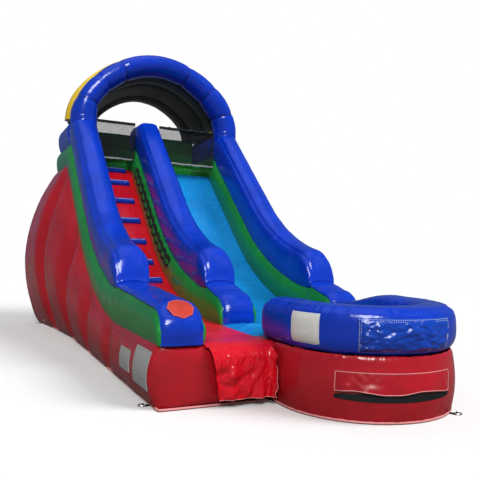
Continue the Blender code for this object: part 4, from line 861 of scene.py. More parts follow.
def build_divider_tube():
    centre = WALL_CENTRES["divider"]
    corner = PLATFORM_EDGE - LOW_WALL * tan(RAMP_ANGLE / 2)
    top = on_lane(0.0, ARC_LENGTH, TUBE_CREST)
    crest = top.y + (SIDE_TUBE_TOP - top.z) / RAMP_TAN

    def corner_distance(height):
        y = between(corner, crest, (height - LOW_WALL) / TUBE_HEIGHT)
        return ARC_LENGTH + (y - on_lane(0.0, ARC_LENGTH, height).y) / RAMP_COS

    rows = bulb_rows(corner_distance, centre, DIVIDER_HALF, DIVIDER_POWER)
    last = rows[-1]
    length = high("divider_upper_tube").y - corner
    for place in (0.06, 0.14, 0.25, 0.38, 0.5, 0.6, 0.7, 0.78, 0.85, 0.91, 0.96, 0.99, 1.0):
        size = sqrt(max(1.0 - clamp((place - 0.8) / 0.2) ** 3.0, 0.04))
        ring = []
        for (x, z), before in zip(side_tube_ring(size, DIVIDER_HALF, DIVIDER_POWER), last):
            lean = between(before.y, corner + length * place, smooth(place / 0.55))
            ring.append(Vector((centre + x, max(lean, before.y + 0.004 * place), z)))
        rows.append(ring)
    tube_skin("divider_tube_skin", rows, "divider_upper_tube", 4.0)


def build_side_tube(side):
    """The level tube beside the platform, behind the arch leg."""
    centre = WALL_CENTRES[side]
    corner = PLATFORM_EDGE - LOW_WALL * tan(RAMP_ANGLE / 2) + 0.001
    stop = low("roof_band_yellow").y - RAISED

    def front(z):
        return min(corner + (z - SIDE_TUBE_FOOT) / RAMP_TAN, stop)

    rows = []
    for share in spaced(0.0, 1.0, 0.035):
        ring = side_tube_ring(1.0 - 0.28 * clamp((share - 0.93) / 0.07) ** 3)
        rows.append([Vector((centre + x, between(front(z), BODY_REAR, share), z)) for x, z in ring])
    tube_skin(side + "_side_tube_skin", rows, side + "_side_tube", centre + 20.0)


# Arch, roof and back wall

def arch_station(half_width, rise, share):
    """Centre and outward direction on an arch, from its left foot to its right one."""
    turn = pi * (1.0 - share)
    pull = 1.0 - ARCH_SHOULDER * sin(2 * turn) ** 2
    centre = Vector((half_width * pull * cos(turn), 0.0, SIDE_TUBE_TOP + rise * pull * sin(turn)))
    return centre, Vector((rise * cos(turn), 0.0, half_width * sin(turn))).normalized()


def build_arch():
    """The round front arch, drawn in by a sewn dart between its segments."""
    depth = sizes().dart_depth

    def section(share, proud=0.0):
        """The arch's ring at a share of its run, and how near that is to a dart."""
        centre, out = arch_station(HALF_WIDTH - WALL_WIDTH / 2, ARCH_RISE, share)
        gap = min(abs(share - dart) for dart in ARCH_DARTS)
        swell = 0.006 * (1.0 - bell(gap, 0.04)) + proud
        slim = 0.15 * smooth(share / 0.12) * smooth((0.85 - share) / 0.25)
        ring = []
        for turn in circle(30):
            drawn = bell(gap, 0.009) * depth * (1.1 - 0.35 * cos(turn))
            size = (1.0 + (swell - drawn) / (ARCH_THICK / 2)) * (1.0 - slim * cos(turn) ** 2)
            point = centre + out * (ARCH_THICK / 2 * cos(turn) * size)
            point.y = ARCH_CENTRE + (ARCH_DEPTH / 2 - 0.002) * sin(turn) * size
            ring.append(point)
        return ring, bell(gap, 0.02)

    rows, near = (list(part) for part in zip(*map(section, spaced(0.0, 1.0, 0.0105))))
    for number, dart in enumerate(ARCH_DARTS, start=1):
        ring = section(dart, 0.003)[0]
        middle = middle_of(ring)
        beading("arch_seam_%d" % number, ring, 0.0045, lambda point: point - middle, closed=True,
                finish="seam")
    legs = []
    for spring in (rows[0], rows[-1]):
        foot = [Vector((p.x, p.y, mitre_height(p.y) + 0.001)) for p in spring]
        leg = []
        for share in (0.0, 0.12, 0.3, 0.5, 0.7, 0.88):
            ring = [a.lerp(b, share) for a, b in zip(foot, spring)]
            middle = middle_of(ring).x
            squeeze = 1.0 - 0.03 * bell(share, 0.12)
            leg.append([Vector((between(middle, p.x, squeeze), p.y, p.z)) for p in ring])
        legs.append(leg)
    rows = legs[0] + rows + legs[1][::-1]
    joint = [0.8, 0.5, 0.3, 0.3, 0.5, 0.7]
    near = joint + near + joint[::-1]
    lengths = mean_run(rows)

    def pucker(along, across, total):
        nearest = min(range(len(lengths)), key=lambda index: abs(lengths[index] - along))
        return clamp(0.15 + near[nearest])

    skin("front_arch_skin", rows, "blue", "front_arch", pucker=pucker, seed=31.0)


def build_band(node, finish, rolls, seed):
    """A roof member that is quilted into rolls, between the two ends of its packed box."""
    first, last = BAND_ENDS[node]
    rows = []
    for share in spaced(0.0, 1.0, 0.016):
        (near, near_out), (far, far_out) = (arch_station(outer - thick / 2, rise - thick / 2, share)
                                            for outer, rise, thick in (first, last))
        ring = []
        for turn in circle(40):
            lift = copysign(abs(sin(turn)) ** 0.36, sin(turn))
            place = 0.5 - 0.5 * copysign(abs(cos(turn)) ** 0.32, cos(turn))
            groove = 0.10 * (1.0 - abs(sin(pi * rolls * place)) ** 0.5) if 0.04 < place < 0.96 else 0.0
            thick = between(first[2], last[2], place)
            reach = thick / 2 * lift * (1.0 - groove) * 0.985
            point = near.lerp(far, place) + near_out.lerp(far_out, place) * reach
            point.y = between(low(node).y + 0.002, high(node).y - 0.002, place)
            ring.append(point)
        rows.append(ring)

    def pucker(along, across, total):
        place = (across / total * 2.0) % 1.0
        return clamp(0.25 + 0.75 * (1.0 - abs(sin(pi * rolls * place))) ** 2)

    band = skin(node + "_skin", rows, finish, node, pucker=pucker, seed=seed)
    # The inner half gets a dark olive vinyl, which paints the shade under the roof
    band.data.materials.append(vinyl("lining"))
    wide, rise = first[0] - first[2] / 2, first[1] - first[2] / 2
    for face in band.data.polygons:
        if (face.center.x / wide) ** 2 + ((face.center.z - SIDE_TUBE_TOP) / rise) ** 2 < 0.985:
            face.material_index = 1


def build_rear_wall():
    """The wall across the back of the platform, quilted into three rolls."""
    lo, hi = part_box("rear_wall")
    rolls = 3
    tall = (hi.z - lo.z) / rolls
    half = [(0.072 + 0.038 * abs(sin(pi * step)) ** 0.6, lo.z + tall * step)
            for step in spaced(0.0, float(rolls), 0.1)]
    outline = half + [(-depth, z) for depth, z in reversed(half)]
    rows = [[Vector((x, (lo.y + hi.y) / 2 + depth, z)) for depth, z in outline]
            for x in spaced(lo.x + 0.001, hi.x - 0.001, 0.04)]

    def pucker(along, across, total):
        step = (across / tall) % 1.0
        return clamp(0.2 + bell(min(step, 1.0 - step), 0.2))

    skin("rear_wall_skin", rows, "green", "rear_wall", pucker=pucker, seed=41.0)


# Lanes, rungs and hand strap

def lane_pucker(along, across, total):
    return clamp(0.15 + 0.85 * bell(min(across, abs(total - across)), 0.10))


def build_lanes():
    """The two lane panels, square above the body, with the shallow valleys of its inner baffles."""
    for node, name, finish, seed in (("climb_panel", "climbing_lane_skin", "lane", 51.0),
                                     ("slide_lane", "sliding_lane_skin", "light_blue", 57.0)):
        lo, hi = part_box(node)
        start = lo.y - CURVE_FOOT
        if start > 0.0:
            start = RAMP_RADIUS * asin(start / RAMP_RADIUS)
        rows = []
        for distance in spaced(start, LANE_LENGTH, 0.03):
            valley = 0.004 * bell((distance + 0.1) % RUNG_PITCH - RUNG_PITCH / 2, 0.03)
            row = []
            for share in (column / 24 for column in range(25)):
                height = 0.006 * sin(pi * share) - valley * sin(pi * share) ** 0.4
                row.append(on_lane(between(lo.x, hi.x, share), distance, height))
            rows.append(row)
        thin_sheet(name, rows, finish, node, pucker=lane_pucker, seed=seed, relief=0.8)


def build_rungs():
    """Padded rungs, sewn across the climbing lane, each with a pale strip along its crest as a painted
    highlight.
    """
    def pucker(along, across, total):
        return clamp(0.25 + bell(min(across, abs(total - 0.12 - across)), 0.035))

    for number in range(1, 8):
        node = "rung_%d" % number
        lo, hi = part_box(node)
        middle = min((mm / 1000.0 for mm in range(0, 4400, 5)),
                     key=lambda far: abs(on_lane(0.0, far, 0.04).y - (lo.y + hi.y) / 2))
        rows, crest = [], []
        for x in spaced(lo.x, hi.x, 0.012):
            size = 0.12 + 0.88 * rounded(min(x - lo.x, hi.x - x) / 0.045)
            rows.append([on_lane(x, middle + 0.052 * cos(turn) * (0.75 + 0.25 * size),
                                 RAISED + 0.062 * size * sin(turn) ** 0.9)
                         for turn in (pi * step / 16 for step in range(17))])
            crest.append([on_lane(x, middle + across, 0.0625 * size + RAISED) for across in (-0.007, 0.007)])
        rung = skin(node + "_pad", rows, "blue", node, pucker=pucker, seed=number * 2.3, relief=0.6)
        # A pale strip on the crest paints the rung's highlight
        thin_sheet(node + "_welt", crest[3:-3], "rung_welt", relief=0.0)


def build_hand_strap():
    """Webbing hand holds: two straps that are sewn together and to the wall between oval loops."""
    holds, pitch, start, centre = 12, 0.2, 0.3, 0.235
    for sign, name in ((1.0, "hand_strap_upper"), (-1.0, "hand_strap_lower")):
        rows = []
        for distance in spaced(start, start + holds * pitch, pitch / 14):
            place = ((distance - start) / pitch) % 1.0
            opened = sin(pi * place) ** 0.8 if 0.0 < place < 1.0 else 0.0
            row = []
            for edge in (-0.021, 0.021):
                spot = on_lane(0.0, LANE_LENGTH - distance, centre + sign * (0.021 + 0.035 * opened) + edge)
                base = above_lane(spot.y, -SKIN)
                share = clamp((spot.z - base) / (wall_top("divider", spot.y) - base))
                spot.x = WALL_CENTRES["divider"] - WALL_WIDTH / 2 - cheek(share) - 0.004 - 0.014 * opened
                row.append(spot)
            rows.append(row)
        thin_sheet(name, rows, woven_strap(), "hand_strap", 0.0025, (-1.0, 0.0, 0.0), relief=0.0)


# Geometry Nodes trees

def start_tree(name, inputs):
    """A node tree with named inputs, its inputs' sockets and its output node."""
    tree = bpy.data.node_groups.new(name, "GeometryNodeTree")
    for way in ("OUTPUT", "INPUT"):
        tree.interface.new_socket(name="Geometry", in_out=way, socket_type="NodeSocketGeometry")
    for label, value in inputs.items():
        kind = "NodeSocketInt" if isinstance(value, int) else "NodeSocketFloat"
        tree.interface.new_socket(name=label, in_out="INPUT", socket_type=kind).default_value = value
    tree.interface.new_socket(name="Material", in_out="INPUT", socket_type="NodeSocketMaterial")
    return tree, add(tree, "NodeGroupInput").outputs, add(tree, "NodeGroupOutput")


def finish_tree(tree, geometry, given, output):
    """Makes the instances real and gives them their material."""
    real = add(tree, "GeometryNodeRealizeInstances", {"Geometry": geometry})
    painted = add(tree, "GeometryNodeSetMaterial", {"Geometry": real, "Material": given["Material"]})
    fill(output, {"Geometry": painted})
    return tree


@cache
def stitch_tree():
    """Stitches in a row along every line of a mesh of edges."""
    tree, given, output = start_tree("stitch_rows", {"Pitch": 0.014, "Length": 0.009, "Thickness": 0.0018})
    curve = add(tree, "GeometryNodeMeshToCurve", {"Mesh": given["Geometry"]})
    spread = add(tree, "GeometryNodeResampleCurve", {"Curve": curve, "Length": given["Pitch"]}, mode="LENGTH")
    tangent = add(tree, "GeometryNodeInputTangent")
    turned = add(tree, "FunctionNodeAlignRotationToVector", {"Vector": tangent}, axis="X")
    bead = add(tree, "GeometryNodeMeshUVSphere", {"Segments": 6, "Rings": 4, "Radius": 0.5})
    scale = add(tree, "ShaderNodeCombineXYZ", {"X": given["Length"], "Y": given["Thickness"],
                                               "Z": given["Thickness"]})
    placed = add(tree, "GeometryNodeInstanceOnPoints", {"Points": spread, "Instance": bead,
                                                        "Rotation": turned, "Scale": scale})
    return finish_tree(tree, placed, given, output)


@cache
def net_tree():
    """Two crossing sets of straight cords, blown into a shallow belly."""
    tree, given, output = start_tree("net_cords", {"Width": 1.0, "Height": 0.6, "Columns": 60, "Rows": 40,
                                                   "Cord": 0.0032, "Belly": 0.03})
    half_cord = add(tree, "ShaderNodeMath", {0: given["Cord"], 1: 0.5}, operation="MULTIPLY")
    profile = add(tree, "GeometryNodeCurvePrimitiveCircle", {"Resolution": 4, "Radius": half_cord},
                  mode="RADIUS")
    joined = add(tree, "GeometryNodeJoinGeometry")
    for way, span, across, other, number in (("Z", "Height", "X", "Width", "Columns"),
                                             ("X", "Width", "Z", "Height", "Rows")):
        end = add(tree, "ShaderNodeCombineXYZ", {way: given[span]})
        line = add(tree, "GeometryNodeCurvePrimitiveLine", {"End": end})
        fine = add(tree, "GeometryNodeResampleCurve", {"Curve": line, "Count": 20})
        cord = add(tree, "GeometryNodeCurveToMesh", {"Curve": fine, "Profile Curve": profile,
                                                     "Fill Caps": True})
        less = add(tree, "ShaderNodeMath", {0: given[number], 1: 1.0}, operation="SUBTRACT")
        step = add(tree, "ShaderNodeMath", {0: given[other], 1: less}, operation="DIVIDE")
        offset = add(tree, "ShaderNodeCombineXYZ", {across: step})
        points = add(tree, "GeometryNodeMeshLine", {"Count": given[number], "Offset": offset}, mode="OFFSET")
        fill(joined, {0: add(tree, "GeometryNodeInstanceOnPoints", {"Points": points, "Instance": cord})})
    real = add(tree, "GeometryNodeRealizeInstances", {"Geometry": joined})
    spot = add(tree, "ShaderNodeSeparateXYZ", {0: add(tree, "GeometryNodeInputPosition")})
    depth = given["Belly"]
    for axis, span in (("X", "Width"), ("Z", "Height")):
        share = add(tree, "ShaderNodeMath", {0: spot.outputs[axis], 1: given[span]}, operation="DIVIDE")
        turn = add(tree, "ShaderNodeMath", {0: share, 1: pi}, operation="MULTIPLY")
        wave = add(tree, "ShaderNodeMath", {0: turn}, operation="SINE")
        depth = add(tree, "ShaderNodeMath", {0: wave, 1: depth}, operation="MULTIPLY")
    moved = add(tree, "ShaderNodeCombineXYZ", {"Y": depth})
    bellied = add(tree, "GeometryNodeSetPosition", {"Geometry": real, "Offset": moved})
    return finish_tree(tree, bellied, given, output)


def grown(name, source, tree, values, move=Vector()):
    """Runs a tree on a source mesh and keeps what it makes as one plain mesh."""
    holder = bpy.data.objects.new(name + "_source", source)
    bpy.context.scene.collection.objects.link(holder)
    modifier = holder.modifiers.new("Nodes", "NODES")
    modifier.node_group = tree
    for item in tree.interface.items_tree:
        if item.in_out == "INPUT" and item.name in values:
            modifier[item.identifier] = values[item.name]
    bpy.context.view_layer.update()
    graph = bpy.context.evaluated_depsgraph_get()
    mesh = bpy.data.meshes.new_from_object(holder.evaluated_get(graph))
    bpy.data.objects.remove(holder, do_unlink=True)
    if not mesh.polygons:
        raise RuntimeError("%s: the node tree made no faces" % name)
    mesh.transform(Matrix.Translation(move))
    mesh.name = name
    mesh.shade_smooth()
    return link_piece(name, mesh, values["Material"])


def stitch_lines(name, lines, material, pitch=0.012, length=0.008, thick=0.0022, body="slide"):
    """Rows of stitches along lines of points."""
    source = bpy.data.meshes.new(name + "_lines")
    points, edges = [], []
    for line in lines:
        edges += [(len(points) + step, len(points) + step + 1) for step in range(len(line) - 1)]
        points += line
    source.from_pydata(points, edges, [])
    values = {"Pitch": pitch, "Length": length, "Thickness": thick, "Material": material}
    rides(grown(name, source, stitch_tree(), values), body)


# Nets and sprinkler

def build_net(lane):
    """A fine net stretched between the tubes, with its top strap and its thin curling hem."""
    lo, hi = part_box(lane + "_net")
    wide, tall = hi.x - lo.x, hi.z - lo.z
    values = {"Width": wide, "Height": tall, "Columns": int(wide / sizes().net_pitch),
              "Rows": int(tall / sizes().net_pitch), "Cord": sizes().net_cord, "Belly": 0.035,
              "Material": net_cord()}
    net = grown(lane + "_net_cords", bpy.data.meshes.new(lane + "_net_start"), net_tree(), values,
                Vector((lo.x, 0.0, lo.z)))
    rides(net, "slide", lane + "_net")
    foot, top = low(lane + "_net_strap").z - 0.008, high(lane + "_net_strap").z
    middle = (foot + 0.008 + top) / 2
    rows = [[Vector((x, y, z + 0.004 * ripple(x * 7.0, 1.0, 0.0))) for y, z in (
        (-0.004, foot), (-0.006, middle), (-0.004, top), (0.004, top), (0.005, middle), (0.004, foot))]
        for x in spaced(lo.x, hi.x, 0.02)]
    skin(lane + "_net_top_strap", rows, woven_strap(), lane + "_net_strap", relief=0.0)
    rows = []
    for x in spaced(lo.x + 0.002, hi.x - 0.002, 0.012):
        curl = ripple(x * 9.0, 3.0, lo.x)
        y, z = 0.010 * curl, lo.z + 0.010 + 0.010 * ripple(x * 5.0, 8.0, 2.0)
        rows.append([Vector((x, y, z + 0.016)), Vector((x, y - 0.006 + 0.006 * curl, z + 0.006)),
                     Vector((x, y - 0.002, z - 0.010))])
    thin_sheet(lane + "_net_hem", rows, "hem", None, 0.002, (0.0, 1.0, 0.0), relief=0.0)


def build_sprinkler():
    """The crinkled sprinkler hose along the slide net's top strap, with its ties and coupling."""
    lo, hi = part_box("sprinkler_hose")
    middle_y, middle_z = (lo.y + hi.y) / 2, (lo.z + hi.z) / 2
    radius = (hi.z - lo.z) / 2 * 1.25
    ties = [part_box("hose_tie_%d" % number) for number in range(1, 5)]
    rows = []
    for x in spaced(lo.x, hi.x, 0.006):
        free = 1.0 - max(bell(x - (a.x + b.x) / 2, 0.03) for a, b in ties)
        drop = -0.024 * free * (0.6 + 0.8 * ripple(x * 6.0, 2.0, 9.0))
        sway = 0.008 * free * ripple(x * 8.0, 5.0, 1.0)
        size = radius * (rounded(min(x - lo.x, hi.x - x) / 0.012) * 0.7 + 0.3)
        ring = []
        for turn in circle(14):
            kink = size * (1.0 + free * 0.30 * ripple(x * 42.0, cos(turn) * 1.2, sin(turn) * 1.2))
            ring.append(Vector((x, middle_y + sway + kink * cos(turn) * (1.0 - 0.2 * free),
                                middle_z + drop + kink * sin(turn))))
        rows.append(ring)
    skin("sprinkler_hose_crinkled", rows, hose_rubber(), "sprinkler_hose", relief=0.0)
    for number, (a, b) in enumerate(ties, start=1):
        rows = []
        for turn in circle(24):
            reach = (b.z - a.z) / 2 * (1.0 + 0.05 * sin(3 * turn + number))
            rows.append([Vector((x, (a.y + b.y) / 2 + reach * scale * cos(turn),
                                 (a.z + b.z) / 2 + reach * scale * sin(turn)))
                         for x, scale in ((a.x, 0.84), (a.x + 0.002, 1.0), (b.x - 0.002, 1.0), (b.x, 0.84))])
        skin("hose_tie_%d_band" % number, rows, woven_strap(), "hose_tie_%d" % number, loop=True, relief=0.0)
    paint("hose_coupling", metal("turned_brass", "brass", "#C8A050", 0.28, 300.0))


# Splash pool

def on_pool(turn, radius, z=0.0):
    return Vector((POOL_X + radius * cos(turn), POOL_Y + radius * sin(turn), z))


def base_spot(turn, z, proud):
    """Point on the pool's red base at an angle round the pool and a height."""
    return on_pool(turn, pool_radius(z) + proud, z)


def ring_spot(turn, z, proud):
    """Point on the ring's outer side at an angle round the pool and a height."""
    lift = clamp(abs(2.0 * (z - LANDING_TOP + SKIN) / RING_TALL - 1.0), 0.0, 0.999)
    return on_pool(turn, RING_PATH + RING_HALF * (1.0 - lift ** RING_POWER) ** (1.0 / RING_POWER) + proud, z)


def pool_radius(z):
    return POOL_RADIUS + POOL_BULGE * (sin(pi * clamp(z / DECK)) - 1.0)


def pool_turns(start, end, step=0.028):
    return spaced(start, end, step / POOL_RADIUS)


def pool_line(radius, z, back):
    """A line round the pool's base at a height, from its right end to its left one."""
    line = [Vector((POOL_X + radius, y, z)) for y in (back, POOL_BACK - 0.1)]
    line += [on_pool(turn, radius, z) for turn in pool_turns(0.0, -pi)]
    return line + [Vector((POOL_X - radius, y, z)) for y in (POOL_BACK - 0.1, back)]


def build_pool_base():
    rows = []
    for step in range(25):
        share = 0.5 - 0.5 * cos(pi * step / 24)
        z = DECK * share
        rows.append(pool_line(pool_radius(z) - 0.012 * max(0.0, (share - 0.93) / 0.07) ** 2, z, POOL_BACK))

    def pucker(along, across, total):
        return clamp(0.3 + bell(across, 0.07) + 0.9 * bell(LANDING_TOP * 1.05 - across, 0.07))

    # Its seams run along its rows, so the rows are turned a quarter
    rows = [list(column) for column in zip(*rows)]
    flatten_foot(skin("pool_base_skin", rows, "red", "pool_base", pucker=pucker, seed=61.0))
    build_welt("pool_welt", pool_line(pool_radius(0.0), 0.0, POOL_BACK - 0.02)[::-1])


def build_pool_ring():
    """The blue ring, from its left end round the front to the right wall, where it gets lower."""
    points = [Vector((POOL_X - RING_PATH, y, 0.0)) for y in spaced(RING_TAIL, POOL_Y + 0.03, 0.03)]
    points += [on_pool(turn, RING_PATH) for turn in pool_turns(pi, 2 * pi)]
    first, end = points[-1], Vector((WALL_CENTRES["right"], nose_front("right") - 0.001, 0.0))
    points += [Vector((between(first.x, end.x, smooth(share)), between(first.y, end.y, share), 0.0))
               for share in spaced(0.0, 1.0, 0.028)[1:]]
    ahead = (points[1] - points[0]).normalized()
    stations = [(points[0] - ahead * RING_HALF * reach, ahead, sqrt(max(1.0 - reach ** 2.4, 0.02)), 1.0)
                for reach in (1.0, 0.97, 0.92, 0.84, 0.74, 0.6, 0.45, 0.3, 0.15)]
    lengths = run(points)
    for index, point in enumerate(points[:-1]):
        ahead = (points[index + 1] - points[max(index - 1, 0)]).normalized()
        fall = between(RING_FALL, 1.0, smooth((lengths[-1] - lengths[index] - 0.12) / 0.85))
        stations.append((point, ahead, 1.0, fall))
    stations.append((points[-1], Vector((0.0, 1.0, 0.0)), 1.0, RING_FALL))
    rows = []
    for spot, ahead, size, fall in stations:
        tall = RING_TALL * fall * size ** 0.6
        ring = []
        for turn in (radians(-58.0 + 296.0 * step / 51) for step in range(52)):
            # A little squarer than an ellipse, and flat where it lies on the base
            full = (abs(cos(turn)) ** RING_POWER + abs(sin(turn)) ** RING_POWER) ** (-1.0 / RING_POWER)
            lift = max(sin(turn) * full, -0.93)
            seam = 0.010 * bell(turn - radians(50.0), 0.09)
            across = RING_HALF * cos(turn) * full * size * (1.0 - seam / RING_HALF)
            rise = tall / 2 * (1.0 + (lift / 0.93 if lift < 0.0 else lift)) - seam
            ring.append(spot + Vector((ahead.y * across, -ahead.x * across, LANDING_TOP - SKIN + rise)))
        rows.append(ring)
    sewn = [pool_edges(node)[:2] for node in ("pool_pocket", "sign_panel")]

    def pucker(along, across, total):
        spots = (0.0, 0.41, 0.71, total - 0.3)
        return clamp(0.05 + 1.3 * sum(bell(across - spot, 0.055) for spot in spots), 0.0, 1.3)

    def calm(point):
        """No relief under the panels that are sewn on."""
        turn = atan2(point.y - POOL_Y, point.x - POOL_X)
        return 1.0 - 0.95 * max(smooth((turn - start) / 0.06 + 1.0) * smooth((stop - turn) / 0.06 + 1.0)
                                for start, stop in sewn)

    skin("pool_ring_skin", rows, "blue", "pool_ring", pucker=pucker, seed=71.0, relief=1.1, calm=calm)


def pool_edges(node):
    """Angles round the pool of a packed panel's two ends, and its lowest and highest z."""
    angles = []
    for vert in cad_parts[node].data.vertices:
        turn = atan2(vert.co.y - POOL_Y, vert.co.x - POOL_X)
        angles.append(turn - 2 * pi if turn > pi / 2 else turn)
    return min(angles), max(angles), low(node).z, high(node).z


def ring_outward(point):
    return Vector((point.x - POOL_X, point.y - POOL_Y, 0.0)).normalized()


def pool_sheet(name, rows, depth, material, node, body="slide"):
    """A sheet round the pool, each of its rows carried back along its inner side."""
    rows = [row + [point - ring_outward(point) * depth for point in reversed(row)] for row in rows]
    return skin(name, rows, material, node, body, relief=0.0, sharp=60.0)


def panel_on_ring(name, node, finish, proud, wrinkle, seed):
    """A sewn-on panel that follows the ring, flat at its edges; gives its edges."""
    start, end, bottom, top = edges = pool_edges(node)
    rows = []
    for turn in pool_turns(start, end, 0.010):
        row = []
        for z in spaced(bottom, top, 0.010):
            from_edge = min((turn - start) * POOL_RADIUS, (end - turn) * POOL_RADIUS, z - bottom, top - z)
            wave = creased(turn * 6.0 + z * 5.0, z * 14.0 - turn * 2.0, seed)
            row.append(ring_spot(turn, z, 0.004 + smooth(from_edge / 0.05) * (proud + wrinkle * wave)))
        rows.append(row)
    pool_sheet(name, rows, 0.0045, finish, node)
    return edges


def border(spot, edges, inset, proud, radius=1.0):
    """A closed line just inside a panel's edges; spot gives the point at a place along it and a height."""
    first, last, bottom, top = edges
    first, last, bottom, top = first + inset / radius, last - inset / radius, bottom + inset, top - inset
    line = [spot(place, top, proud) for place in spaced(first, last, 0.02)]
    line += [spot(last, z, proud) for z in spaced(top, bottom, 0.015)[1:]]
    line += [spot(place, bottom, proud) for place in spaced(last, first, 0.02)[1:]]
    return line + [spot(first, z, proud) for z in spaced(bottom, top, 0.015)[1:]]


def build_pool_panels():
    """The wrinkled pocket with its double border of stitches, and the bare pale sign panel."""
    edges = panel_on_ring("pool_pocket_cloth", "pool_pocket", "pocket", 0.008, 0.030, 81.0)
    lines = [border(ring_spot, edges, inset, proud, POOL_RADIUS)
             for inset, proud in ((0.012, 0.007), (0.026, 0.010))]
    stitch_lines("pocket_stitches", lines, pale_thread(), 0.018, 0.013, 0.006)
    edges = panel_on_ring("sign_panel_film", "sign_panel", "label", 0.002, 0.002, 85.0)
    stitch_lines("sign_stitches", [border(ring_spot, edges, 0.010, 0.0045, POOL_RADIUS)], spun_thread())


def build_drain():
    """The zipped drain slit, its black tape with coil teeth, and the curling red cover over it."""
    start, end, bottom, top = pool_edges("zip_tape")
    centre = (bottom + top) / 2
    rows = []
    for turn in pool_turns(start, end, 0.02):
        lens = sqrt(max(1.0 - ((turn - (start + end) / 2) / ((end - start) / 2)) ** 2, 0.02))
        tall = (top - bottom) / 2 * (0.35 + 0.65 * lens)
        rows.append([base_spot(turn, centre + tall * share, 0.0035) for share in (-1.0, -0.4, 0.0, 0.4, 1.0)])
    pool_sheet("zip_tape_woven", rows, 0.0042, woven_strap(), "zip_tape")
    line = [base_spot(turn, centre, 0.0045) for turn in pool_turns(start + 0.01, end - 0.01, 0.02)]
    stitch_lines("zip_coil", [line], spun_thread("moulded_nylon_zip_coil_black", "#2A2B30"), 0.007, 0.005)
    start, end, bottom, top = pool_edges("zip_flap")
    rows = []
    for turn in pool_turns(start, end, 0.016):
        edge = smooth(min(turn - start, end - turn) * POOL_RADIUS / 0.08)
        row = []
        for share in (step / 12 for step in range(13)):
            z = between(top, bottom - 0.034 - 0.012 * sin(turn * 9.0), share)
            curl = (0.022 + 0.016 * ripple(turn * 7.0, share * 1.5, 5.0)) * share ** 1.6 * edge
            row.append(base_spot(turn, z, 0.0035 + curl + 0.006 * creased(turn * 9.0, share * 2.0, 5.0)))
        rows.append(row)
    flap = pool_sheet("zip_cover_vinyl", rows, 0.003, "red", "zip_flap", "zip_cover")
    cut_sheet(flap, rows, "hung", "pool_base")
    line = [base_spot(turn, top - 0.008, 0.0045) for turn in pool_turns(start, end, 0.02)]
    stitch_lines("zip_cover_stitches", [line], spun_thread(), sizes().stitch_pitch, sizes().stitch_length,
                 body="zip_cover")
    edge = [row[0] for row in rows] + rows[-1][1:-1] + [row[-1] for row in reversed(rows)] + rows[0][-2:0:-1]
    beading("zip_cover_edge", edge, 0.0035, ring_outward, body="zip_cover", closed=True)
    paint("zip_slider", metal("blackened_zinc_casting", "steel", "#3C3D40", 0.4, 300.0))


# Front deck

def mat_right(y):
    """The mat's right edge, which runs past the ring's left end and the divider's nose."""
    if y < RING_STOP + RING_GAP:
        return high("mat_flap").x - 0.0002
    if y < low("divider_nose_ribbon").y - 0.0005:
        return between(-0.408, -0.388, clamp((y - RING_STOP) / 0.77))
    return high("climb_panel").x


def build_deck():
    """The red entrance mat and the light blue pool floor, both lying on the deck."""
    lo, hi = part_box("entrance_mat")
    rows = []
    for y in spaced(lo.y, hi.y, 0.02):
        right = mat_right(y)
        level = hi.z - MAT_FALL * clamp(1.0 - (y - lo.y) / MAT_FALL_RUN) ** 2
        row = []
        for x in (between(lo.x, right, step / 40) for step in range(41)):
            free = smooth(min(x - lo.x, right - x) / 0.12) * smooth((y - lo.y) / 0.1)
            row.append(Vector((x, y, level + 0.028 * free * creased(x * 2.6, y * 1.9, 12.0))))
        rows.append(row)
    mat = thin_sheet("entrance_mat_vinyl", rows, "mat", "entrance_mat", pucker=lane_pucker, seed=91.0,
                     relief=0.0)
    cut_sheet(mat, rows, "laid", "slide_body")
    lo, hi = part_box("pool_floor")
    inner = RING_PATH - RING_HALF - RING_GAP
    rows = []
    for y in spaced(POOL_Y - inner + RING_GAP, hi.y, 0.025):
        half = sqrt(max(inner ** 2 - min(y - POOL_Y, 0.0) ** 2, 0.0))
        left, right = POOL_X - half, POOL_X + half
        if y > POOL_Y:
            right = min(right + smooth((y - POOL_Y) / (hi.y - POOL_Y)) * 0.3, hi.x)
        if y > RING_STOP + RING_GAP:
            left = mat_right(y) + 0.003
        row = []
        for x in (between(left, right, step / 30) for step in range(31)):
            free = smooth(min(x - left, right - x) / 0.1)
            # Puffed up where it meets the divider's foot
            puffed = 1.0 + 2.2 * bell(x + 0.19, 0.22) * bell(y + 3.95, 0.25)
            row.append(Vector((x, y, hi.z + 0.014 * puffed * free * (creased(x * 4.0, y * 4.0, 2.0) + 0.3))))
        rows.append(row)
    floor = thin_sheet("pool_floor_vinyl", rows, "light_blue", "pool_floor", pucker=lane_pucker, seed=95.0,
                       relief=0.0)
    cut_sheet(floor, rows, "laid", "slide_body", "pool_base")


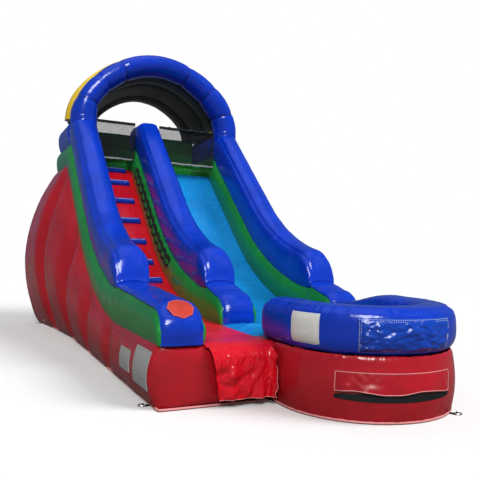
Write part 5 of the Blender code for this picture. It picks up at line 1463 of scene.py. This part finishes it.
def build_flap():
    """The entrance mat's end, which rolls over the deck's edge and hangs down the front in loose folds."""
    lo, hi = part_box("mat_flap")
    wide, tall = hi.x - lo.x, hi.z - lo.z
    corner, roll = 0.07, 0.12
    start = atan(2.0 * MAT_FALL / MAT_FALL_RUN)
    turned = pi / 2 - start
    total = wide + 0.07
    rows = []
    for drop in spaced(0.0, tall - MAT_FALL + roll * (turned - cos(start)), 0.012):
        share = drop / tall
        over = min(start + drop / roll, pi / 2)
        back = roll * (sin(over) - sin(start))
        z = hi.z - MAT_FALL - roll * (cos(start) - cos(over)) - max(drop - roll * turned, 0.0)
        row = []
        for across in spaced(0.0, total, 0.011):
            # The right edge turns forward along the side of the pool
            past = clamp((across - wide + corner) / corner, 0.0, pi / 2)
            x = lo.x + min(across, wide - corner) + corner * sin(past)
            forward = corner * (1.0 - cos(past)) + max(across - wide + corner * (1.0 - pi / 2), 0.0)
            fold = 0.5 + 0.5 * sin(across * 30.0 + 1.6 * sin(across * 9.0 + share) + 1.6 * share + 0.8)
            depth = smooth(share * 2.2) * (0.007 + 0.015 * share) * fold ** 1.5
            depth += 0.026 * smooth(share * 3.0) * creased(across * 8.0, share * 3.4 + across * 3.0, 7.0)
            slant = 0.075 * share * (1.0 - across / total)
            row.append(Vector((x + slant, hi.y - forward * smooth(share * 4.0), z))
                       - Vector((sin(past), cos(past), 0.0)) * depth - Vector((0.0, back, 0.0)))
        rows.append(row)
    flap = thin_sheet("mat_flap_vinyl", rows, "loose", None, 0.0025, (0.0, 1.0, 0.0), relief=0.0, body=None)
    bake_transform(flap)
    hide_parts("mat_flap")
    cut_sheet(flap, rows, "hung", "entrance_mat")
    edge = rows[-1] + [row[-1] for row in reversed(rows[16:-1])]
    beading("mat_flap_hem", edge, 0.0024, lambda point: Vector((0.0, -1.0, 0.0)), body="mat_flap")


# Patches, anchors and sleeve

def body_side_spot(y, z, proud):
    top = above_lane(y, -SKIN - RAISED)
    return Vector((-HALF_WIDTH - side_reach(y, top, z / top) - proud, y, z))


def build_labels():
    for node in ("label_small", "label_large"):
        lo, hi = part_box(node)
        rows = [[body_side_spot(y, z, 0.009) for z in spaced(lo.z, hi.z, 0.02)]
                for y in spaced(lo.y, hi.y, 0.02)]
        thin_sheet(node + "_film", rows, "grey_label", node, 0.008, (1.0, 0.0, 0.0), relief=0.0)
        line = border(body_side_spot, (lo.y, hi.y, lo.z, hi.z), 0.012, 0.0095)
        stitch_lines(node + "_stitches", [line], spun_thread())


def nose_spot(side, arc, across, proud):
    """Point on a nose's crowned front: arc in radians from its front, across from its middle."""
    reach = NOSE_ROUND + RIBBON_CROWN * (1.0 - abs(across / RIBBON_HALF) ** 2.3) + proud
    return Vector((WALL_CENTRES[side] + across, nose_front(side) + NOSE_ROUND - reach * cos(arc),
                   NOSE_TOP - NOSE_ROUND + reach * sin(arc)))


def build_octagon():
    """The bare coral patch with eight sides on the left nose."""
    radius, middle = 0.122, radians(55.0)
    rows = []
    for size in (0.25, 0.5, 0.75, 0.93, 1.0):
        row = []
        for turn in circle(48):
            reach = radius * size * cos(pi / 8) / cos(turn % (pi / 4) - pi / 8)
            arc = middle + reach * sin(turn) / (NOSE_ROUND + RIBBON_CROWN)
            row.append(nose_spot("left", arc, reach * cos(turn), 0.006))
        rows.append(row)
    aim = Vector((0.0, -cos(middle), sin(middle)))
    shell = rows + [[point - aim * 0.004 for point in rows[-1]]]
    skin("octagon_patch_film", shell, "coral", "octagon_patch", relief=0.0, sharp=60.0)
    line = [point + aim * 0.001 for point in rows[-2]]
    stitch_lines("octagon_stitches", [line + line[:1]], pale_thread())


def build_anchors():
    """The webbing eyes on the ground and the zinc plated rings in them."""
    for name in ("front", "pool", "rear_left", "rear_right"):
        paint(name + "_anchor_tab", woven_strap())
        paint(name + "_anchor_ring", metal("zinc_plated_steel", "steel", "#B8BABD", 0.32, 420.0))


def build_sleeve():
    """The blower's fabric sleeve, gathered by its strap."""
    lo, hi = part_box("blower_sleeve")
    strap_low, strap_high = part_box("sleeve_strap")
    radius = (hi.z - lo.z) / 2

    def spot(turn, y, size, ground):
        z = (lo.z + hi.z) / 2 + size * sin(turn)
        return Vector(((lo.x + hi.x) / 2 + size * cos(turn), y, max(z, ground)))

    def ring(y, reach):
        gather = bell(y - (strap_low.y + strap_high.y) / 2, 0.045)
        line = []
        for turn in circle(60):
            pleat = 1.0 - gather * 0.05 * (0.5 + 0.5 * cos(turn * 15.0)) - 0.02 * gather
            sag = 1.0 + 0.025 * ripple(cos(turn) * 1.5, y * 9.0, sin(turn) * 1.5)
            line.append(spot(turn, y, reach * pleat * sag * 0.985, 0.002))
        return line

    ys = spaced(BODY_REAR + REAR_PILLOW * 0.9, hi.y, 0.015)
    rows = [ring(y, radius) for y in ys] + [ring(y, radius - 0.006) for y in reversed(ys)]
    skin("blower_sleeve_vinyl", rows, "red", "blower_sleeve", loop=True, relief=0.0, sharp=60.0)
    size = radius * 0.985 + 0.001
    rows = [[spot(turn, y, size + lift, 0.0012) for y, lift in (
        (strap_low.y, -0.004), (strap_low.y, 0.0015), (strap_high.y, 0.0015), (strap_high.y, -0.004))]
        for turn in circle(60)]
    skin("sleeve_strap_webbing", rows, woven_strap(), "sleeve_strap", loop=True, relief=0.0)


# Stage

def floor_material():
    """Painted studio floor, rolled on flat, which stays white behind the slide and takes its shadow."""
    made, tree, shader, place = start_material("rolled_emulsion_floor_white", "pale_vinyl")
    grain = add(tree, "ShaderNodeTexNoise", {"Vector": place["Object"], "Scale": 30.0, "Detail": 3.0})
    shade = add(tree, "ShaderNodeMix", {"Factor": grain, 6: (0.81, 0.81, 0.81, 1.0),
                                        7: (0.84, 0.84, 0.84, 1.0)}, data_type="RGBA")
    # The vinyl is lit and mirrored by a lawn's level of light from below, as in the photograph
    rays = add(tree, "ShaderNodeLightPath").outputs
    seen = add(tree, "ShaderNodeMix", {"Factor": rays["Is Camera Ray"], 6: (0.14, 0.14, 0.14, 1.0),
                                       7: shade.outputs[2]}, data_type="RGBA")
    fill(shader, {"Base Color": seen.outputs[2], "Roughness": 0.9})
    return made


def build_floor():
    work = bmesh.new()
    bmesh.ops.create_grid(work, x_segments=8, y_segments=8, size=60.0,
                          matrix=Matrix.Translation((0.0, 0.0, -0.002)))
    mesh = bpy.data.meshes.new("studio_floor")
    work.to_mesh(mesh)
    work.free()
    link_piece("studio_floor", mesh, floor_material())


def build_world():
    """A soft light from all round, dim where the vinyl mirrors it, behind a white backdrop."""
    world = bpy.context.scene.world = bpy.data.worlds.new("studio_world")
    world.use_nodes = True
    tree = world.node_tree
    tree.nodes.clear()
    rays = add(tree, "ShaderNodeLightPath").outputs
    seen = add(tree, "ShaderNodeMath", {0: rays["Is Camera Ray"], 1: rays["Is Transmission Ray"]},
               operation="MAXIMUM")
    level = add(tree, "ShaderNodeMix", {"Factor": rays["Is Glossy Ray"], 6: (0.33, 0.34, 0.35, 1.0),
                                        7: (0.11, 0.15, 0.22, 1.0)}, data_type="RGBA")
    light = add(tree, "ShaderNodeBackground", {"Color": level.outputs[2], "Strength": 1.0})
    white = add(tree, "ShaderNodeBackground", {"Color": (1.0, 1.0, 1.0, 1.0), "Strength": 1.0})
    mixed = add(tree, "ShaderNodeMixShader", {0: seen, 1: light, 2: white})
    add(tree, "ShaderNodeOutputWorld", {"Surface": mixed})


def build_lamp(name, place, strength, angle, colour, lights=True, mirrored=True):
    """A lamp as wide as a bright patch of cloud, which lights the whole stage evenly."""
    lamp = bpy.data.lights.new(name, "SUN")
    lamp.energy, lamp.angle, lamp.color = strength, radians(angle), colour
    item = bpy.data.objects.new(name, lamp)
    bpy.context.scene.collection.objects.link(item)
    item.visible_diffuse, item.visible_glossy = lights, mirrored
    item.location = place
    item.rotation_euler = (-Vector(place)).to_track_quat("-Z", "Y").to_euler()


def build_camera():
    """The photograph's viewpoint, solved from the slide's straight edges."""
    yaw, pitch, roll = (radians(turn) for turn in (25.549, 0.962, 1.428))
    ahead = Vector((sin(yaw) * cos(pitch), cos(yaw) * cos(pitch), sin(pitch)))
    level = Vector((cos(yaw), -sin(yaw), 0.0))
    above = level.cross(ahead)
    right = level * cos(roll) + above * sin(roll)
    up = above * cos(roll) - level * sin(roll)
    camera = bpy.data.cameras.new("photograph_camera")
    camera.sensor_width = SENSOR_WIDTH
    camera.lens = SENSOR_WIDTH * PHOTO_FOCAL / PHOTO_WIDTH
    camera.clip_end = 200.0
    item = bpy.data.objects.new("photograph_camera", camera)
    bpy.context.scene.collection.objects.link(item)
    item.matrix_world = Matrix((right, up, -ahead)).transposed().to_4x4()
    item.location = (-2.8935, -9.342, 1.3368)
    bpy.context.scene.camera = item


# Operators

class SLIDE_OT_stage(bpy.types.Operator):
    """Adds the camera, the floor, the lamps and the white backdrop."""

    bl_idname = "slide.stage"
    bl_label = "Stage"

    def execute(self, context):
        build_floor()
        build_world()
        build_lamp("hazy_key", (-3.6, -7.0, 6.8), 2.25, 24.0, (1.0, 0.99, 0.97))
        build_lamp("flagged_fill", (4.6, -3.8, 6.4), 2.1, 30.0, (0.98, 0.99, 1.0), mirrored=False)
        build_lamp("overhead_sheen", (-0.6, 0.4, 8.0), 0.25, 50.0, (0.86, 0.94, 1.0), lights=False)
        build_camera()
        context.scene.view_settings.view_transform = "Standard"
        return {"FINISHED"}


class SLIDE_OT_body(bpy.types.Operator):
    """Builds the red main body with its baffle valleys and ground welt."""

    bl_idname = "slide.body"
    bl_label = "Main body"

    def execute(self, context):
        build_body()
        return {"FINISHED"}


class SLIDE_OT_walls(bpy.types.Operator):
    """Builds the three green walls beside the lanes."""

    bl_idname = "slide.walls"
    bl_label = "Lane walls"

    def execute(self, context):
        for side in WALL_CENTRES:
            build_wall(side)
        return {"FINISHED"}


class SLIDE_OT_noses(bpy.types.Operator):
    """Builds the blue pillows over the three wall noses."""

    bl_idname = "slide.noses"
    bl_label = "Nose pillows"

    def execute(self, context):
        for side in WALL_CENTRES:
            build_ribbon(side)
        return {"FINISHED"}


class SLIDE_OT_tubes(bpy.types.Operator):
    """Builds the blue tubes with their bulbs, and the level tubes beside the platform."""

    bl_idname = "slide.tubes"
    bl_label = "Tubes"

    def execute(self, context):
        for side in ("left", "right"):
            build_outer_tube(side)
            build_side_tube(side)
        build_divider_tube()
        return {"FINISHED"}


class SLIDE_OT_arch(bpy.types.Operator):
    """Builds the front arch with its sewn darts."""

    bl_idname = "slide.arch"
    bl_label = "Front arch"

    def execute(self, context):
        build_arch()
        return {"FINISHED"}


class SLIDE_OT_roof(bpy.types.Operator):
    """Builds the quilted roof bands, the rear arch and the wall across the back."""

    bl_idname = "slide.roof"
    bl_label = "Roof and back"

    def execute(self, context):
        build_band("roof_band_yellow", "yellow", 1, 35.0)
        build_band("roof_band_blue", "blue", 2, 37.0)
        build_band("rear_arch", "blue", 1, 39.0)
        build_rear_wall()
        return {"FINISHED"}


class SLIDE_OT_lanes(bpy.types.Operator):
    """Builds the lane panels, the pool floor and the entrance mat with its hanging flap."""

    bl_idname = "slide.lanes"
    bl_label = "Lanes and deck"

    def execute(self, context):
        build_lanes()
        build_deck()
        build_flap()
        return {"FINISHED"}


class SLIDE_OT_rungs(bpy.types.Operator):
    """Builds the padded rungs of the climbing lane."""

    bl_idname = "slide.rungs"
    bl_label = "Rungs"

    def execute(self, context):
        build_rungs()
        return {"FINISHED"}


class SLIDE_OT_holds(bpy.types.Operator):
    """Builds the webbing hand holds along the divider."""

    bl_idname = "slide.holds"
    bl_label = "Hand strap"

    def execute(self, context):
        build_hand_strap()
        return {"FINISHED"}


class SLIDE_OT_nets(bpy.types.Operator):
    """Builds the two safety nets with their straps and hems."""

    bl_idname = "slide.nets"
    bl_label = "Safety nets"

    def execute(self, context):
        for lane in ("climb", "slide"):
            build_net(lane)
        return {"FINISHED"}


class SLIDE_OT_sprinkler(bpy.types.Operator):
    """Builds the crinkled sprinkler hose with its ties and coupling."""

    bl_idname = "slide.sprinkler"
    bl_label = "Sprinkler hose"

    def execute(self, context):
        build_sprinkler()
        return {"FINISHED"}


class SLIDE_OT_pool(bpy.types.Operator):
    """Builds the pool's red base and blue ring."""

    bl_idname = "slide.pool"
    bl_label = "Splash pool"

    def execute(self, context):
        build_pool_base()
        build_pool_ring()
        return {"FINISHED"}


class SLIDE_OT_panels(bpy.types.Operator):
    """Builds the pocket, the sign panel and the zipped drain with its cover."""

    bl_idname = "slide.panels"
    bl_label = "Pool panels"

    def execute(self, context):
        build_pool_panels()
        build_drain()
        return {"FINISHED"}


class SLIDE_OT_patches(bpy.types.Operator):
    """Builds the bare labels and the eight-sided patch."""

    bl_idname = "slide.patches"
    bl_label = "Patches"

    def execute(self, context):
        build_labels()
        build_octagon()
        return {"FINISHED"}


class SLIDE_OT_anchors(bpy.types.Operator):
    """Finishes the ground anchors and builds the blower sleeve."""

    bl_idname = "slide.anchors"
    bl_label = "Anchors and sleeve"

    def execute(self, context):
        build_anchors()
        build_sleeve()
        return {"FINISHED"}


PIECES = ("stage", "body", "walls", "noses", "tubes", "arch", "roof", "lanes", "rungs", "holds", "nets",
          "sprinkler", "pool", "panels", "patches", "anchors")


class SLIDE_PT_panel(bpy.types.Panel):
    """Lists the slide's sizes, colours and building steps."""

    bl_idname = "SLIDE_PT_panel"
    bl_label = "Inflatable Water Slide"
    bl_space_type = "VIEW_3D"
    bl_region_type = "UI"
    bl_category = "Water Slide"

    def draw(self, context):
        layout = self.layout
        for group in (context.scene.slide_sizes, context.scene.slide_colours):
            box = layout.box()
            for name in group.bl_rna.properties.keys():
                if name not in ("rna_type", "name"):
                    box.prop(group, name)
        for piece in PIECES:
            layout.operator("slide." + piece)


CLASSES = (SlideSizes, SlideColours, SLIDE_OT_stage, SLIDE_OT_body, SLIDE_OT_walls, SLIDE_OT_noses,
           SLIDE_OT_tubes, SLIDE_OT_arch, SLIDE_OT_roof, SLIDE_OT_lanes, SLIDE_OT_rungs, SLIDE_OT_holds,
           SLIDE_OT_nets, SLIDE_OT_sprinkler, SLIDE_OT_pool, SLIDE_OT_panels, SLIDE_OT_patches,
           SLIDE_OT_anchors, SLIDE_PT_panel)


def register():
    for item in CLASSES:
        bpy.utils.register_class(item)
    bpy.types.Scene.slide_sizes = bpy.props.PointerProperty(type=SlideSizes)
    bpy.types.Scene.slide_colours = bpy.props.PointerProperty(type=SlideColours)


def unregister():
    del bpy.types.Scene.slide_colours
    del bpy.types.Scene.slide_sizes
    for item in reversed(CLASSES):
        bpy.utils.unregister_class(item)


def main():
    register()
    for piece in PIECES:
        getattr(bpy.ops.slide, piece)()


if __name__ == "__main__":
    main()
